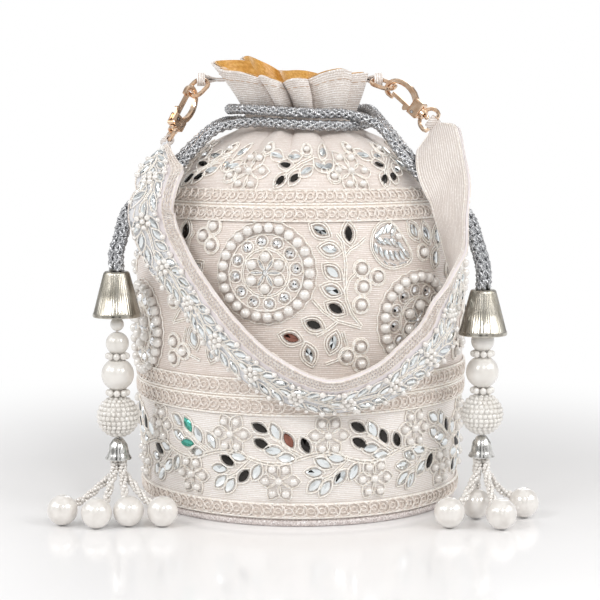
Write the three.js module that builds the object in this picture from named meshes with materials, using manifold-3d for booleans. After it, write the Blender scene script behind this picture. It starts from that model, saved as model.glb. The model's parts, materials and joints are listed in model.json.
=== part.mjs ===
// Potli bag: a round cloth pouch gathered by two drawcords, with pearl tassels and a clip-on wrist strap.
// Millimetres, +Z up, front towards -Y, origin at the middle of the base on the surface it stands on.
import * as THREE from "three";
import { mergeVertices } from "three/addons/utils/BufferGeometryUtils.js";
import Module from "manifold-3d";

// Fits
const GAP = 0.3; // clearance between pieces that touch
const RUN = 0.3; // running clearance of pins, stems and threads

// Bag body: radii and heights of the outer cloth
const BASE_RADIUS = 78;
const BELLY_RADIUS = 81.5;
const SHOULDER_RADIUS = 74;
const NECK_RADIUS = 26;
const RUFFLE_RADIUS = 36;
const PIPING_RADIUS = 1.7;
const LOW_SEAM_HEIGHT = 62;
const BELLY_HEIGHT = 105;
const HIGH_SEAM_HEIGHT = 149;
const NECK_HEIGHT = 188;
const RUFFLE_FRONT_HEIGHT = 209;
const RUFFLE_BACK_HEIGHT = 218;
const CLOTH = 1.8; // embroidered cloth with its interlining
const LINING = 0.8;
const BASE_PANEL = 1.6;
const BASE_BOARD = 2.2;
const AROUND = 45; // facets round the bag

// Gathers: soft pleats that grow from the shoulder to the ruffle's rim
const PLEATS = 9;
const PLEAT_TURN = THREE.MathUtils.degToRad(-3);
const PLEAT_AT_NECK = 2.2;
const PLEAT_AT_RIM = 3.6;
const RUFFLE_LEAN = -5; // the ruffle falls a little to the left

// Lace bands, heights of their lower edges and their widths
const LACE = 0.9;
const LACE_BANDS = [
  { name: "lace_lower", bottom: 4.4, width: 7 },
  { name: "lace_middle", bottom: 53, width: 17 },
  { name: "lace_upper", bottom: 142, width: 14 },
];

// Drawcords
const CORD_DIAMETER = 5.2;
const CORD_SIDES = 8;
const CORD_STEP = 9;
const LOW_CORD_HEIGHT = 187.6;
const HIGH_CORD_HEIGHT = 193.4;
const CORD_LIFT = 1.2; // room for the stitching under a cord

// Tassels: distance from the bag's wall, sizes of the caps and beads
const TASSEL_STAND = 21.5;
const TASSEL_TURN = THREE.MathUtils.degToRad(57);
const CONE_HEIGHT = 21.5;
const CONE_TOP_DIAMETER = 12;
const CONE_BOTTOM_DIAMETER = 23;
const THREAD_DIAMETER = 1;
const SMALL_PEARL = 6.5;
const MEDIUM_PEARL = 11;
const LARGE_PEARL = 15.6;
const BEAD_BALL = 20.4;
const RING_BEAD = 3.3;
const RING_BEADS = 8;
const BELL_HEIGHT = 10;
const BELL_DIAMETER = 12.5;
const STRAND_DIAMETER = 3.2;
const END_PEARL = 14.4;

// Hook hardware
const LINK_WIRE = 2.2;
const LINK_LENGTH = 13; // on the wire's middle
const LINK_WIDTH = 7.2; // on the wire's middle
const HOOK_THICKNESS = 2.6;
const HOOK_LENGTH = 24.2;
const HOOK_BASE_WIDTH = 8.4;
const HOOK_BASE_HEIGHT = 6.2;
const HOOK_BASE_DEPTH = 5;
const GATE_WIDTH = 1.8;
const GATE_PIN = 1.4;
const EYE_WIRE = 2;
const EYE_WIDTH = 11;
const EYE_DROP = 8.2; // hook base to the middle of the eye's bar
const STEM_DIAMETER = 1.7;
const TAB_WIDTH = 4;
const TAB_STAND = 6.3; // loop middle outside the ruffle
const TAB_SEAM = 1.7; // how far the tongue reaches in between two pleats
const TAB_HEIGHT = 208;
const TAB_Y = -8;

// Wrist strap
const STRAP_WIDTH = 24;
const STRAP_THICKNESS = 2.4;
const STRAP_STEPS = 46;

const wasm = await Module();
wasm.setup();

// Solids in and out of the boolean library
function toSolid(geometry) {
  const bare = geometry.clone();
  bare.deleteAttribute("normal");
  bare.deleteAttribute("uv");
  const merged = mergeVertices(bare, 1e-4);
  const corners = merged.index.array;
  const kept = [];
  for (let i = 0; i < corners.length; i += 3) {
    const [a, b, c] = [corners[i], corners[i + 1], corners[i + 2]];
    if (a !== b && b !== c && c !== a) kept.push(a, b, c);
  }
  const vertProperties = new Float32Array(merged.attributes.position.array);
  return new wasm.Manifold(new wasm.Mesh({ numProp: 3, vertProperties, triVerts: new Uint32Array(kept) }));
}

function toGeometry(solid) {
  const mesh = solid.getMesh();
  const geometry = new THREE.BufferGeometry();
  geometry.setAttribute("position", new THREE.BufferAttribute(new Float32Array(mesh.vertProperties), 3));
  geometry.setIndex(new THREE.BufferAttribute(new Uint32Array(mesh.triVerts), 1));
  return geometry;
}

function combine(base, { add = [], cut = [] }) {
  let solid = toSolid(base);
  for (const piece of add) solid = solid.add(toSolid(piece));
  for (const piece of cut) solid = solid.subtract(toSolid(piece));
  return toGeometry(solid);
}

// Materials
const finish = (color, roughness, metalness = 0) =>
  new THREE.MeshStandardMaterial({ color, roughness, metalness });
const ivoryCloth = finish(0xe3d9d0, 0.75);
const ruffleCloth = finish(0xd8d0c8, 0.5, 0.15);
const goldSatin = finish(0xc98a2e, 0.4);
const lilacLurex = finish(0xb9b0b4, 0.35, 0.4);
const cardBoard = finish(0xb09a78, 0.9);
const creamLace = finish(0xead9c5, 0.8);
const silverCord = finish(0xc9cacc, 0.35, 0.6);
const paleBrass = finish(0xd9c3a5, 0.25, 1);
const silverPlate = finish(0xc4c2ba, 0.25, 1);
const pearlWhite = finish(0xf0ebe2, 0.25);
const strapCloth = finish(0xe4e2e0, 0.6);
const threadWhite = finish(0xe8e4dc, 0.8);

const bag = new THREE.Group();

function addMesh(parent, name, geometry, material) {
  const mesh = new THREE.Mesh(geometry, material);
  mesh.name = name;
  parent.add(mesh);
  return mesh;
}

// Turned shapes: a closed outline of radius and height, revolved round the upright axis
function turned(outline, segments) {
  const points = outline.map(([radius, height]) => new THREE.Vector2(radius, height));
  return new THREE.LatheGeometry(points, segments).rotateX(Math.PI / 2);
}

const closed = (outline) => [...outline, outline[0]];

// Profile of the bag's outer cloth from the base to the ruffle's rim
const baseTop = BASE_PANEL + GAP;
const wallFoot = 2 * PIPING_RADIUS + GAP;
const neckRise = NECK_HEIGHT - HIGH_SEAM_HEIGHT;
const profile = new THREE.SplineCurve([
  new THREE.Vector2(BASE_RADIUS, wallFoot),
  new THREE.Vector2((BASE_RADIUS + BELLY_RADIUS) / 2, LOW_SEAM_HEIGHT / 2),
  new THREE.Vector2(BELLY_RADIUS - 0.6, LOW_SEAM_HEIGHT),
  new THREE.Vector2(BELLY_RADIUS, BELLY_HEIGHT),
  new THREE.Vector2((BELLY_RADIUS + SHOULDER_RADIUS) / 2 + 1.5, (BELLY_HEIGHT + HIGH_SEAM_HEIGHT) / 2 + 4),
  new THREE.Vector2(SHOULDER_RADIUS, HIGH_SEAM_HEIGHT),
  new THREE.Vector2(NECK_RADIUS + (SHOULDER_RADIUS - NECK_RADIUS) * 0.72, HIGH_SEAM_HEIGHT + neckRise * 0.42),
  new THREE.Vector2(NECK_RADIUS + (SHOULDER_RADIUS - NECK_RADIUS) * 0.36, HIGH_SEAM_HEIGHT + neckRise * 0.73),
  new THREE.Vector2(NECK_RADIUS + 3, NECK_HEIGHT - 4),
  new THREE.Vector2(NECK_RADIUS, NECK_HEIGHT),
  new THREE.Vector2(NECK_RADIUS + 1.5, NECK_HEIGHT + 6),
  new THREE.Vector2(RUFFLE_RADIUS, RUFFLE_FRONT_HEIGHT),
]);

function profileAt(height) {
  let low = 0;
  let high = 1;
  for (let i = 0; i < 40; i += 1) {
    const middle = (low + high) / 2;
    if (profile.getPoint(middle).y < height) low = middle;
    else high = middle;
  }
  const point = profile.getPoint(low);
  const slope = profile.getTangent(low);
  return { point, outward: new THREE.Vector2(slope.y, -slope.x) };
}

function wallPoint(height, inset) {
  const { point, outward } = profileAt(height);
  return [point.x - outward.x * inset, point.y - outward.y * inset];
}

// A cloth wall between two heights: outer face upwards, inner face back down
function clothWall(heights, outerInset, innerInset) {
  const outer = heights.map((height) => wallPoint(height, outerInset));
  const inner = heights.map((height) => wallPoint(height, innerInset)).reverse();
  return turned(closed([...outer, ...inner]), AROUND);
}

const steps = (from, to, count) =>
  Array.from({ length: count + 1 }, (_, i) => from + ((to - from) * i) / count);

// Gathers move each point of the top in or out, tilt the rim up at the back and lean it to the left
function gather(geometry) {
  const place = geometry.attributes.position;
  for (let i = 0; i < place.count; i += 1) {
    const [x, y, z] = [place.getX(i), place.getY(i), place.getZ(i)];
    const turn = Math.atan2(x, -y);
    const radius = Math.hypot(x, y);
    const rise = THREE.MathUtils.smoothstep(z, HIGH_SEAM_HEIGHT + 4, NECK_HEIGHT);
    const flare = THREE.MathUtils.clamp((z - NECK_HEIGHT) / (RUFFLE_FRONT_HEIGHT - NECK_HEIGHT), 0, 1);
    const depth = rise * THREE.MathUtils.lerp(PLEAT_AT_NECK, PLEAT_AT_RIM, flare);
    const pleated = radius + depth * Math.cos(PLEATS * (turn - PLEAT_TURN));
    const lift = (RUFFLE_BACK_HEIGHT - RUFFLE_FRONT_HEIGHT) * (0.5 - 0.5 * Math.cos(turn));
    const lean = RUFFLE_LEAN * flare ** 2;
    place.setXYZ(i, pleated * Math.sin(turn) + lean, -pleated * Math.cos(turn), z + lift * flare);
  }
  return geometry;
}

// Base: a lurex-covered panel with a piped rim, and the stiff board that keeps it flat
const rimRadius = BASE_RADIUS - PIPING_RADIUS;
const rimArc = steps(-90, 180, 6).map((degrees) => {
  const angle = THREE.MathUtils.degToRad(degrees);
  return [rimRadius + PIPING_RADIUS * Math.cos(angle), PIPING_RADIUS + PIPING_RADIUS * Math.sin(angle)];
});
const baseOutline = [[0, 0], ...rimArc, [rimRadius - PIPING_RADIUS, BASE_PANEL], [0, BASE_PANEL]];
addMesh(bag, "base_panel", turned(baseOutline, AROUND), lilacLurex);
const boardRadius = BASE_RADIUS - 2 * PIPING_RADIUS - CLOTH - 2 * GAP;
const boardTop = baseTop + BASE_BOARD;
const boardOutline = [[0, baseTop], [boardRadius, baseTop], [boardRadius, boardTop], [0, boardTop]];
addMesh(bag, "base_board", turned(boardOutline, AROUND), cardBoard);

// Cloth panels, joined at seams that the lace bands cover
addMesh(bag, "lower_panel", clothWall(steps(wallFoot, LOW_SEAM_HEIGHT, 2), 0, CLOTH), ivoryCloth);
const mainHeights = steps(LOW_SEAM_HEIGHT + GAP, HIGH_SEAM_HEIGHT, 4);
addMesh(bag, "main_panel", clothWall(mainHeights, 0, CLOTH), ivoryCloth);
const shoulderHeights = steps(HIGH_SEAM_HEIGHT + GAP, NECK_HEIGHT, 5);
addMesh(bag, "shoulder_panel", gather(clothWall(shoulderHeights, 0, CLOTH)), ivoryCloth);
const ruffleHeights = steps(NECK_HEIGHT + GAP, RUFFLE_FRONT_HEIGHT, 2);
addMesh(bag, "neck_ruffle", gather(clothWall(ruffleHeights, 0, CLOTH)), ruffleCloth);

// Lining: one gold satin sack from the board to just below the rim
const liningOut = CLOTH + 2 * GAP;
const liningIn = liningOut + LINING;
const liningFoot = boardTop + GAP;
const liningHeights = [
  liningFoot, LOW_SEAM_HEIGHT, BELLY_HEIGHT, HIGH_SEAM_HEIGHT - 20,
  ...shoulderHeights, ...ruffleHeights,
];
const sackOuter = liningHeights.map((height) => wallPoint(height, liningOut));
const sackFloor = liningFoot + LINING;
const sackInner = liningHeights.map((height) => wallPoint(Math.max(height, sackFloor), liningIn)).reverse();
const sackOutline = [[0, liningFoot], ...sackOuter, ...sackInner, [0, sackFloor]];
addMesh(bag, "lining", gather(turned(sackOutline, AROUND)), goldSatin);

// Lace bands lie on the cloth
for (const { name, bottom, width } of LACE_BANDS) {
  addMesh(bag, name, clothWall(steps(bottom, bottom + width, 2), -GAP - LACE, -GAP), creamLace);
}

// Drawcords: each runs round the neck and its two ends go down side by side to one tassel
const cordRadius = CORD_DIAMETER / 2;
const wallSamples = steps(0, 1, 120).map((share) => {
  return { point: profile.getPoint(share), slope: profile.getTangent(share) };
});

// Moves a point away from the bag until a cord there clears the cloth
function liftOff(place) {
  const level = new THREE.Vector2(Math.hypot(place.x, place.y), place.z);
  const nearest = wallSamples.reduce((best, sample) =>
    (sample.point.distanceTo(level) < best.point.distanceTo(level) ? sample : best));
  const outward = new THREE.Vector2(nearest.slope.y, -nearest.slope.x);
  const off = level.clone().sub(nearest.point).dot(outward);
  const pleat = place.z > HIGH_SEAM_HEIGHT ? PLEAT_AT_NECK : 0;
  const short = Math.max(cordRadius + GAP + CORD_LIFT + pleat - off, 0);
  const lifted = place.clone();
  lifted.x *= (level.x + outward.x * short) / level.x;
  lifted.y *= (level.x + outward.x * short) / level.x;
  lifted.z += outward.y * short;
  const away = new THREE.Vector3((place.x / level.x) * outward.x, (place.y / level.x) * outward.x, outward.y);
  return { lifted, away };
}

function neckRing(height) {
  const reach = steps(-1, 1, 8).map((share) => profileAt(height + share * cordRadius).point.x
    + cordRadius * Math.sqrt(1 - share * share));
  return Math.max(...reach) + PLEAT_AT_RIM + 4 * GAP;
}

function neckPoints(fromDegrees, toDegrees, height) {
  const ring = neckRing(height);
  return steps(fromDegrees, toDegrees, 12).map((degrees) => {
    const angle = THREE.MathUtils.degToRad(degrees);
    return new THREE.Vector3(ring * Math.sin(angle), -ring * Math.cos(angle), height);
  });
}

function cordTube(points) {
  const curve = new THREE.CatmullRomCurve3(points);
  const section = new THREE.Shape();
  for (let i = 0; i < CORD_SIDES; i += 1) {
    const angle = (2 * Math.PI * (i + 0.5)) / CORD_SIDES;
    const [x, y] = [cordRadius * Math.cos(angle), cordRadius * Math.sin(angle)];
    if (i === 0) section.moveTo(x, y);
    else section.lineTo(x, y);
  }
  const tubeSteps = Math.round(curve.getLength() / CORD_STEP);
  return new THREE.ExtrudeGeometry(section, { steps: tubeSteps, extrudePath: curve, bevelEnabled: false });
}

// Middle of each side's pair of cord ends, from the neck over the shoulder and down to the cone
const LEFT_ROUTE = [
  [-40.8, -28, 184.5], [-52.5, -34, 174], [-62.6, -42, 162.4], [-70.8, -46, 154.5], [-80.9, -50, 145.3],
  [-85, -53, 132],
];
const RIGHT_ROUTE = [
  [39, -26, 186], [49, -36, 172], [59.5, -44, 161], [70.1, -48, 152], [79, -51, 142.5], [83.5, -54, 130],
];

// Tassel frame: where the column of beads hangs on each side
const tasselDistance = BELLY_RADIUS + TASSEL_STAND;
const tasselX = tasselDistance * Math.sin(TASSEL_TURN);
const tasselY = -tasselDistance * Math.cos(TASSEL_TURN);
const TASSELS = [
  {
    side: "left", sign: -1, coneTop: 117.6, firstPearl: true,
    ends: [[-94.4, -80.7], [-111, -74.4], [-80, -76.5], [-64, -77]],
  },
  {
    side: "right", sign: 1, coneTop: 109, firstPearl: false,
    ends: [[69.4, -79.5], [83.6, -60.6], [93.2, -82.7], [106.5, -58.4]],
  },
];

// The two ends run half a cord to each side of their shared route
function cordEnds(route, sign, coneTop) {
  const foot = new THREE.Vector3(sign * tasselX, tasselY, coneTop + GAP);
  const middle = route.map((point) => liftOff(new THREE.Vector3(...point)));
  const places = [...middle.map(({ lifted }) => lifted), foot.clone().setZ(foot.z + 9), foot];
  const ends = { front: [], back: [] };
  places.forEach((place, i) => {
    const next = places[Math.min(i + 1, places.length - 1)];
    const along = next.clone().sub(places[Math.max(i - 1, 0)]).normalize();
    const { away } = liftOff(place);
    const beside = away.clone().cross(along).normalize().multiplyScalar(sign * (cordRadius + GAP / 2));
    const upper = place.clone().add(beside);
    const lower = place.clone().sub(beside);
    if (i >= middle.length) {
      upper.z = place.z;
      lower.z = place.z;
    }
    ends.back.push(upper);
    ends.front.push(lower);
  });
  return ends;
}

const leftEnds = cordEnds(LEFT_ROUTE, -1, TASSELS[0].coneTop);
const rightEnds = cordEnds(RIGHT_ROUTE, 1, TASSELS[1].coneTop);
addMesh(bag, "left_drawcord", cordTube([
  ...leftEnds.front.toReversed(), ...neckPoints(-38, 262, LOW_CORD_HEIGHT), ...leftEnds.back,
]), silverCord);
addMesh(bag, "right_drawcord", cordTube([
  ...rightEnds.front.toReversed(), ...neckPoints(38, -262, HIGH_CORD_HEIGHT), ...rightEnds.back,
]), silverCord);

// Beads are turned with a bore for the thread
const boreRadius = THREAD_DIAMETER / 2 + RUN;

function boredBead(diameter, segments, rings) {
  const radius = diameter / 2;
  const start = Math.asin(boreRadius / radius);
  const angles = steps(Math.PI - start, start, rings);
  const arc = angles.map((angle) => [radius * Math.sin(angle), radius * Math.cos(angle)]);
  return turned(closed(arc), segments);
}

// A ring of small pearls strung tight: a torus whose wire swells at each pearl
function pearlRing() {
  const pearlCircle = RING_BEAD / 2 / Math.sin(Math.PI / RING_BEADS);
  const segments = RING_BEADS * 3;
  const ring = new THREE.TorusGeometry(pearlCircle, 1, 5, segments);
  const place = ring.attributes.position;
  for (let i = 0; i < place.count; i += 1) {
    const [x, y, z] = [place.getX(i), place.getY(i), place.getZ(i)];
    const turn = Math.atan2(y, x);
    const swell = (RING_BEAD / 2) * (0.55 + 0.45 * Math.abs(Math.cos((RING_BEADS * turn) / 2)));
    const out = pearlCircle + (Math.hypot(x, y) - pearlCircle) * swell;
    place.setXYZ(i, out * Math.cos(turn), out * Math.sin(turn), z * swell);
  }
  return ring;
}

// Height at which a ring of small pearls nests between a bead above and a bead below
function nestDrop(diameter) {
  const pearlCircle = RING_BEAD / 2 / Math.sin(Math.PI / RING_BEADS);
  const reach = diameter / 2 + RING_BEAD / 2 + GAP;
  return Math.sqrt(Math.max(reach * reach - pearlCircle * pearlCircle, 0));
}

function strandTube(points) {
  const curve = new THREE.CatmullRomCurve3(points.map((point) => new THREE.Vector3(...point)));
  const section = new THREE.Shape();
  section.absarc(0, 0, STRAND_DIAMETER / 2, 0, 2 * Math.PI);
  const settings = { steps: 9, extrudePath: curve, bevelEnabled: false, curveSegments: 4 };
  return new THREE.ExtrudeGeometry(section, settings);
}

// One tassel: cone cap, beads on a thread, bell cap and four strands that end in pearls on the ground
function makeTassel({ side, sign, coneTop, firstPearl, ends }) {
  const tassel = new THREE.Group();
  tassel.position.set(sign * tasselX, tasselY, 0);
  bag.add(tassel);
  const name = (piece) => `${side}_${piece}`;
  const put = (piece, geometry, material, height) => {
    addMesh(tassel, name(piece), geometry, material).position.z = height;
  };
  const top = CONE_TOP_DIAMETER / 2;
  const bottom = CONE_BOTTOM_DIAMETER / 2;
  const wall = 1.4;
  const coneBottom = coneTop - CONE_HEIGHT;
  put("cone_cap", turned(closed([
    [boreRadius, 3], [bottom - wall - 0.6, 0], [bottom - 0.4, 0], [bottom, 0.6], [bottom, 1.4],
    [(top + bottom) / 2 - 0.6, CONE_HEIGHT / 2], [top, CONE_HEIGHT - 0.5], [top - 0.5, CONE_HEIGHT],
    [boreRadius, CONE_HEIGHT],
  ]), 20), paleBrass, coneBottom);
  let height = coneBottom + 3 - GAP;
  if (firstPearl) {
    height = coneBottom - GAP;
    put("small_pearl", boredBead(SMALL_PEARL, 10, 5), pearlWhite, height - SMALL_PEARL / 2);
    height -= SMALL_PEARL + GAP;
  }
  const medium = height - MEDIUM_PEARL / 2;
  const upperRing = medium - nestDrop(MEDIUM_PEARL);
  const large = upperRing - nestDrop(LARGE_PEARL);
  const lowerRing = large - nestDrop(LARGE_PEARL);
  const ball = lowerRing - nestDrop(BEAD_BALL);
  const bellTop = ball - BEAD_BALL / 2 - GAP;
  put("medium_pearl", boredBead(MEDIUM_PEARL, 12, 7), pearlWhite, medium);
  put("upper_pearl_ring", pearlRing(), pearlWhite, upperRing);
  put("large_pearl", boredBead(LARGE_PEARL, 12, 8), pearlWhite, large);
  put("lower_pearl_ring", pearlRing(), pearlWhite, lowerRing);
  put("beaded_ball", boredBead(BEAD_BALL, 14, 8), pearlWhite, ball);
  const mouth = BELL_DIAMETER / 2;
  put("bell_cap", turned(closed([
    [boreRadius, 2], [mouth - 2.2, 1.2], [mouth - 1.1, 0], [mouth, 0], [mouth, 0.8], [mouth - 1.2, 3.5],
    [mouth - 2, BELL_HEIGHT - 3], [mouth - 3.6, BELL_HEIGHT - 0.6], [2, BELL_HEIGHT],
    [boreRadius, BELL_HEIGHT],
  ]), 14), silverPlate, bellTop - BELL_HEIGHT);
  const threadFoot = bellTop - BELL_HEIGHT + 0.4;
  const threadTop = coneTop - 0.4;
  const threadRadius = THREAD_DIAMETER / 2;
  const thread = new THREE.CylinderGeometry(threadRadius, threadRadius, threadTop - threadFoot, 8);
  put("thread", thread.rotateX(Math.PI / 2), threadWhite, (threadTop + threadFoot) / 2);
  makeStrands({ tassel, name, ends, bellBottom: bellTop - BELL_HEIGHT });
}

// Four strands leave the bell in a square round the thread, fall and turn out to their end pearls
function makeStrands({ tassel, name, ends, bellBottom }) {
  const square = STRAND_DIAMETER / 2 + GAP;
  const starts = [[-square, -square], [-square, square], [square, -square], [square, square]];
  ends.forEach(([worldX, worldY], i) => {
    const end = [worldX - tassel.position.x, worldY - tassel.position.y];
    const pearlHeight = END_PEARL / 2 + 0.2;
    const [startX, startY] = starts[i];
    const reach = END_PEARL / 2 + GAP + 0.25;
    const inwards = new THREE.Vector2(startX - end[0], startY - end[1]).normalize();
    // A strand comes to a far pearl nearly level and to a near one from above
    const apart = Math.hypot(startX - end[0], startY - end[1]);
    const rise = THREE.MathUtils.degToRad(60 - 45 * THREE.MathUtils.smoothstep(apart, 8, 24));
    const above = (distance) => [
      end[0] + inwards.x * Math.cos(rise) * distance,
      end[1] + inwards.y * Math.cos(rise) * distance,
      pearlHeight + Math.sin(rise) * distance,
    ];
    const bend = above(reach + 5);
    const overPearl = Math.max(bend[2] + 3.2, END_PEARL + STRAND_DIAMETER / 2 + 1.6);
    const points = [
      [startX, startY, bellBottom - GAP],
      [startX * 1.15, startY * 1.15, bellBottom - 7],
      [startX + (end[0] - startX) * 0.2, startY + (end[1] - startY) * 0.2, overPearl],
      bend,
      above(reach),
    ];
    addMesh(tassel, name(`strand_${i + 1}`), strandTube(points), pearlWhite);
    const round = new THREE.SphereGeometry(END_PEARL / 2, 12, 8);
    const pearl = addMesh(tassel, name(`end_pearl_${i + 1}`), round, pearlWhite);
    pearl.rotation.x = Math.PI / 2;
    pearl.position.set(end[0], end[1], pearlHeight);
  });
}

TASSELS.forEach(makeTassel);

// Strap hardware on each side: the way the link lies, the way the hook hangs and how far each is rolled
const HARDWARE = [
  { side: "left", sign: -1, linkFall: [0, -0.75, -0.66], linkSwing: 30, hookFall: [-0.383, -0.488, -0.784],
    hookRoll: -24, eyeRoll: 60 },
  { side: "right", sign: 1, linkFall: [0, -0.9, -0.43], linkSwing: 50, hookFall: [0.647, -0.455, -0.612],
    hookRoll: 22, eyeRoll: 8 },
];

const alongX = new THREE.Vector3(1, 0, 0);

// Cloth tab: a loop for the link's wire and a tongue sewn to the ruffle's side
function tabGeometry(sign) {
  const endRadius = LINK_WIDTH / 2;
  const bow = endRadius - Math.sqrt(endRadius ** 2 - (TAB_WIDTH / 2) ** 2);
  const inner = LINK_WIRE / 2 + bow + RUN + 0.35;
  const outer = inner + 1;
  const loop = new THREE.LatheGeometry(
    closed([[inner, -1], [outer, -1], [outer, 1], [inner, 1]]).map(
      ([radius, end]) => new THREE.Vector2(radius, (end * TAB_WIDTH) / 2)), 16).rotateZ(-Math.PI / 2);
  const half = TAB_WIDTH / 2;
  const inwards = -sign * (TAB_STAND + TAB_SEAM - GAP);
  const outline = new THREE.Shape();
  outline.moveTo(-half, inner + 0.4);
  outline.lineTo(half, inner + 0.4);
  if (sign < 0) {
    outline.lineTo(inwards, outer + 3);
    outline.lineTo(inwards, outer + 9);
    outline.lineTo(-half, outer + 5);
  } else {
    outline.lineTo(half, outer + 5);
    outline.lineTo(inwards, outer + 9);
    outline.lineTo(inwards, outer + 3);
  }
  outline.closePath();
  const tongue = new THREE.ExtrudeGeometry(outline, { depth: CLOTH, bevelEnabled: false, steps: 1 });
  tongue.translate(0, 0, -CLOTH / 2);
  return combine(loop, { add: [tongue] });
}

// Oval wire link in its own plane: long way along local Y
function linkGeometry() {
  const straight = (LINK_LENGTH - LINK_WIDTH) / 2;
  const radius = LINK_WIDTH / 2;
  const path = new THREE.CurvePath();
  const turn = (centre, from) => {
    const arc = new THREE.CatmullRomCurve3(steps(from, from + 180, 4).map((degrees) => {
      const angle = THREE.MathUtils.degToRad(degrees);
      return new THREE.Vector3(radius * Math.cos(angle), centre + radius * Math.sin(angle), 0);
    }));
    path.add(arc);
  };
  turn(straight, 0);
  const corner = (x, y) => new THREE.Vector3(x, y, 0);
  path.add(new THREE.LineCurve3(corner(-radius, straight), corner(-radius, -straight)));
  turn(-straight, 180);
  path.add(new THREE.LineCurve3(corner(radius, -straight), corner(radius, straight)));
  return new THREE.TubeGeometry(path, 20, LINK_WIRE / 2, 8, true);
}

// Hook casting in its own plane: long way along local Z, gate side towards -X
const GATE_PIVOT = [-2.3, 3.4];
const WIRE_SEAT = [-0.2, 19.75];

function plate(outline, depth, bevel = 0) {
  const flat = { depth: depth - 2 * bevel, bevelEnabled: bevel > 0, bevelSize: bevel, bevelThickness: bevel };
  const settings = { ...flat, bevelOffset: -bevel, bevelSegments: 1, curveSegments: 5, steps: 1 };
  const sheet = new THREE.ExtrudeGeometry(outline, settings);
  return sheet.translate(0, 0, -depth / 2 + bevel).rotateX(Math.PI / 2);
}

function pinHole(diameter, length, [x, z]) {
  const hole = new THREE.CylinderGeometry(diameter / 2, diameter / 2, length, 12);
  return hole.translate(x, 0, z);
}

function hookGeometry() {
  const half = HOOK_BASE_WIDTH / 2;
  const claw = new THREE.Shape();
  claw.moveTo(0.8, 2);
  claw.lineTo(half, 2);
  claw.lineTo(half, 5.5);
  claw.bezierCurveTo(7.4, 9.5, 7.4, 16.5, 4.6, HOOK_LENGTH - 3.4);
  claw.bezierCurveTo(3.2, HOOK_LENGTH - 1, 0.8, HOOK_LENGTH, -1.2, HOOK_LENGTH);
  claw.bezierCurveTo(-3.2, HOOK_LENGTH, -4.9, HOOK_LENGTH - 1.5, -5.2, HOOK_LENGTH - 3.8);
  claw.lineTo(-5, HOOK_LENGTH - 6.8);
  claw.lineTo(-3.55, HOOK_LENGTH - 6.8);
  claw.lineTo(-3.5, HOOK_LENGTH - 4.4);
  claw.bezierCurveTo(-3.3, HOOK_LENGTH - 3, -2.2, HOOK_LENGTH - 2.3, -1, HOOK_LENGTH - 2.3);
  claw.bezierCurveTo(0.6, HOOK_LENGTH - 2.3, 1.9, HOOK_LENGTH - 3.2, 2.7, HOOK_LENGTH - 4.7);
  claw.bezierCurveTo(4.6, 15.8, 4.6, 10.6, 1.9, 7.4);
  claw.lineTo(0.8, HOOK_BASE_HEIGHT);
  claw.closePath();
  const block = new THREE.Shape();
  block.moveTo(-half + 1.2, 0);
  block.lineTo(half - 1.2, 0);
  block.quadraticCurveTo(half, 0, half, 1.2);
  block.lineTo(half, HOOK_BASE_HEIGHT - 1);
  block.lineTo(half - 1, HOOK_BASE_HEIGHT);
  block.lineTo(-half, HOOK_BASE_HEIGHT);
  block.lineTo(-half, 1.2);
  block.quadraticCurveTo(-half, 0, -half + 1.2, 0);
  const stemRadius = STEM_DIAMETER / 2;
  const stem = turned([[0, -5], [0.9, -4.8], [1.4, -3.9], [stemRadius, -3], [stemRadius, 0.6], [0, 0.6]], 12);
  const slotDepth = GATE_WIDTH + 2 * GAP;
  const slot = new THREE.BoxGeometry(half + 1.4, slotDepth, HOOK_BASE_HEIGHT).translate(-half / 2 - 0.3, 0,
    HOOK_BASE_HEIGHT / 2 + 1.2);
  return combine(plate(claw, HOOK_THICKNESS, 0.5), {
    add: [plate(block, HOOK_BASE_DEPTH, 0.6), stem],
    cut: [slot, pinHole(GATE_PIN + 2 * RUN, HOOK_BASE_DEPTH + 2, GATE_PIVOT)],
  });
}

// Gate: a bar from the pin to just inside the claw's tip, with a thumb nub
function gateGeometry() {
  const [x, z] = GATE_PIVOT;
  const tip = HOOK_LENGTH - 5.8;
  const bar = new THREE.Shape();
  bar.moveTo(x - 0.95, z - 1.4);
  bar.lineTo(x + 0.6, z - 1.7);
  bar.lineTo(x + 0.85, z - 0.6);
  bar.lineTo(x + 0.85, tip);
  bar.lineTo(x - 0.95, tip);
  bar.lineTo(x - 0.95, z + 6.6);
  bar.quadraticCurveTo(x - 3.2, z + 6.4, x - 2.9, z + 5);
  bar.lineTo(x - 1.2, z + 3);
  bar.closePath();
  return combine(plate(bar, GATE_WIDTH), { cut: [pinHole(GATE_PIN + 2 * RUN, GATE_WIDTH + 2, GATE_PIVOT)] });
}

// Gate spring: a short coil in the base's slot that pushes the gate out against the claw
function springGeometry() {
  const turns = 2;
  const coilRadius = 0.62;
  const from = GATE_PIVOT[0] + 0.85 + 2 * GAP; // clear of the open gate
  const length = 0.65;
  const points = steps(0, 1, turns * 6).map((share) => {
    const angle = share * turns * 2 * Math.PI;
    const [beside, above] = [coilRadius * Math.cos(angle), coilRadius * Math.sin(angle)];
    return new THREE.Vector3(from + 0.15 + length * share, beside, 4.6 + above);
  });
  const section = new THREE.Shape();
  section.absarc(0, 0, 0.15, 0, 2 * Math.PI);
  const settings = { steps: turns * 6, extrudePath: new THREE.CatmullRomCurve3(points), bevelEnabled: false };
  return new THREE.ExtrudeGeometry(section, { ...settings, curveSegments: 3 });
}

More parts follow.
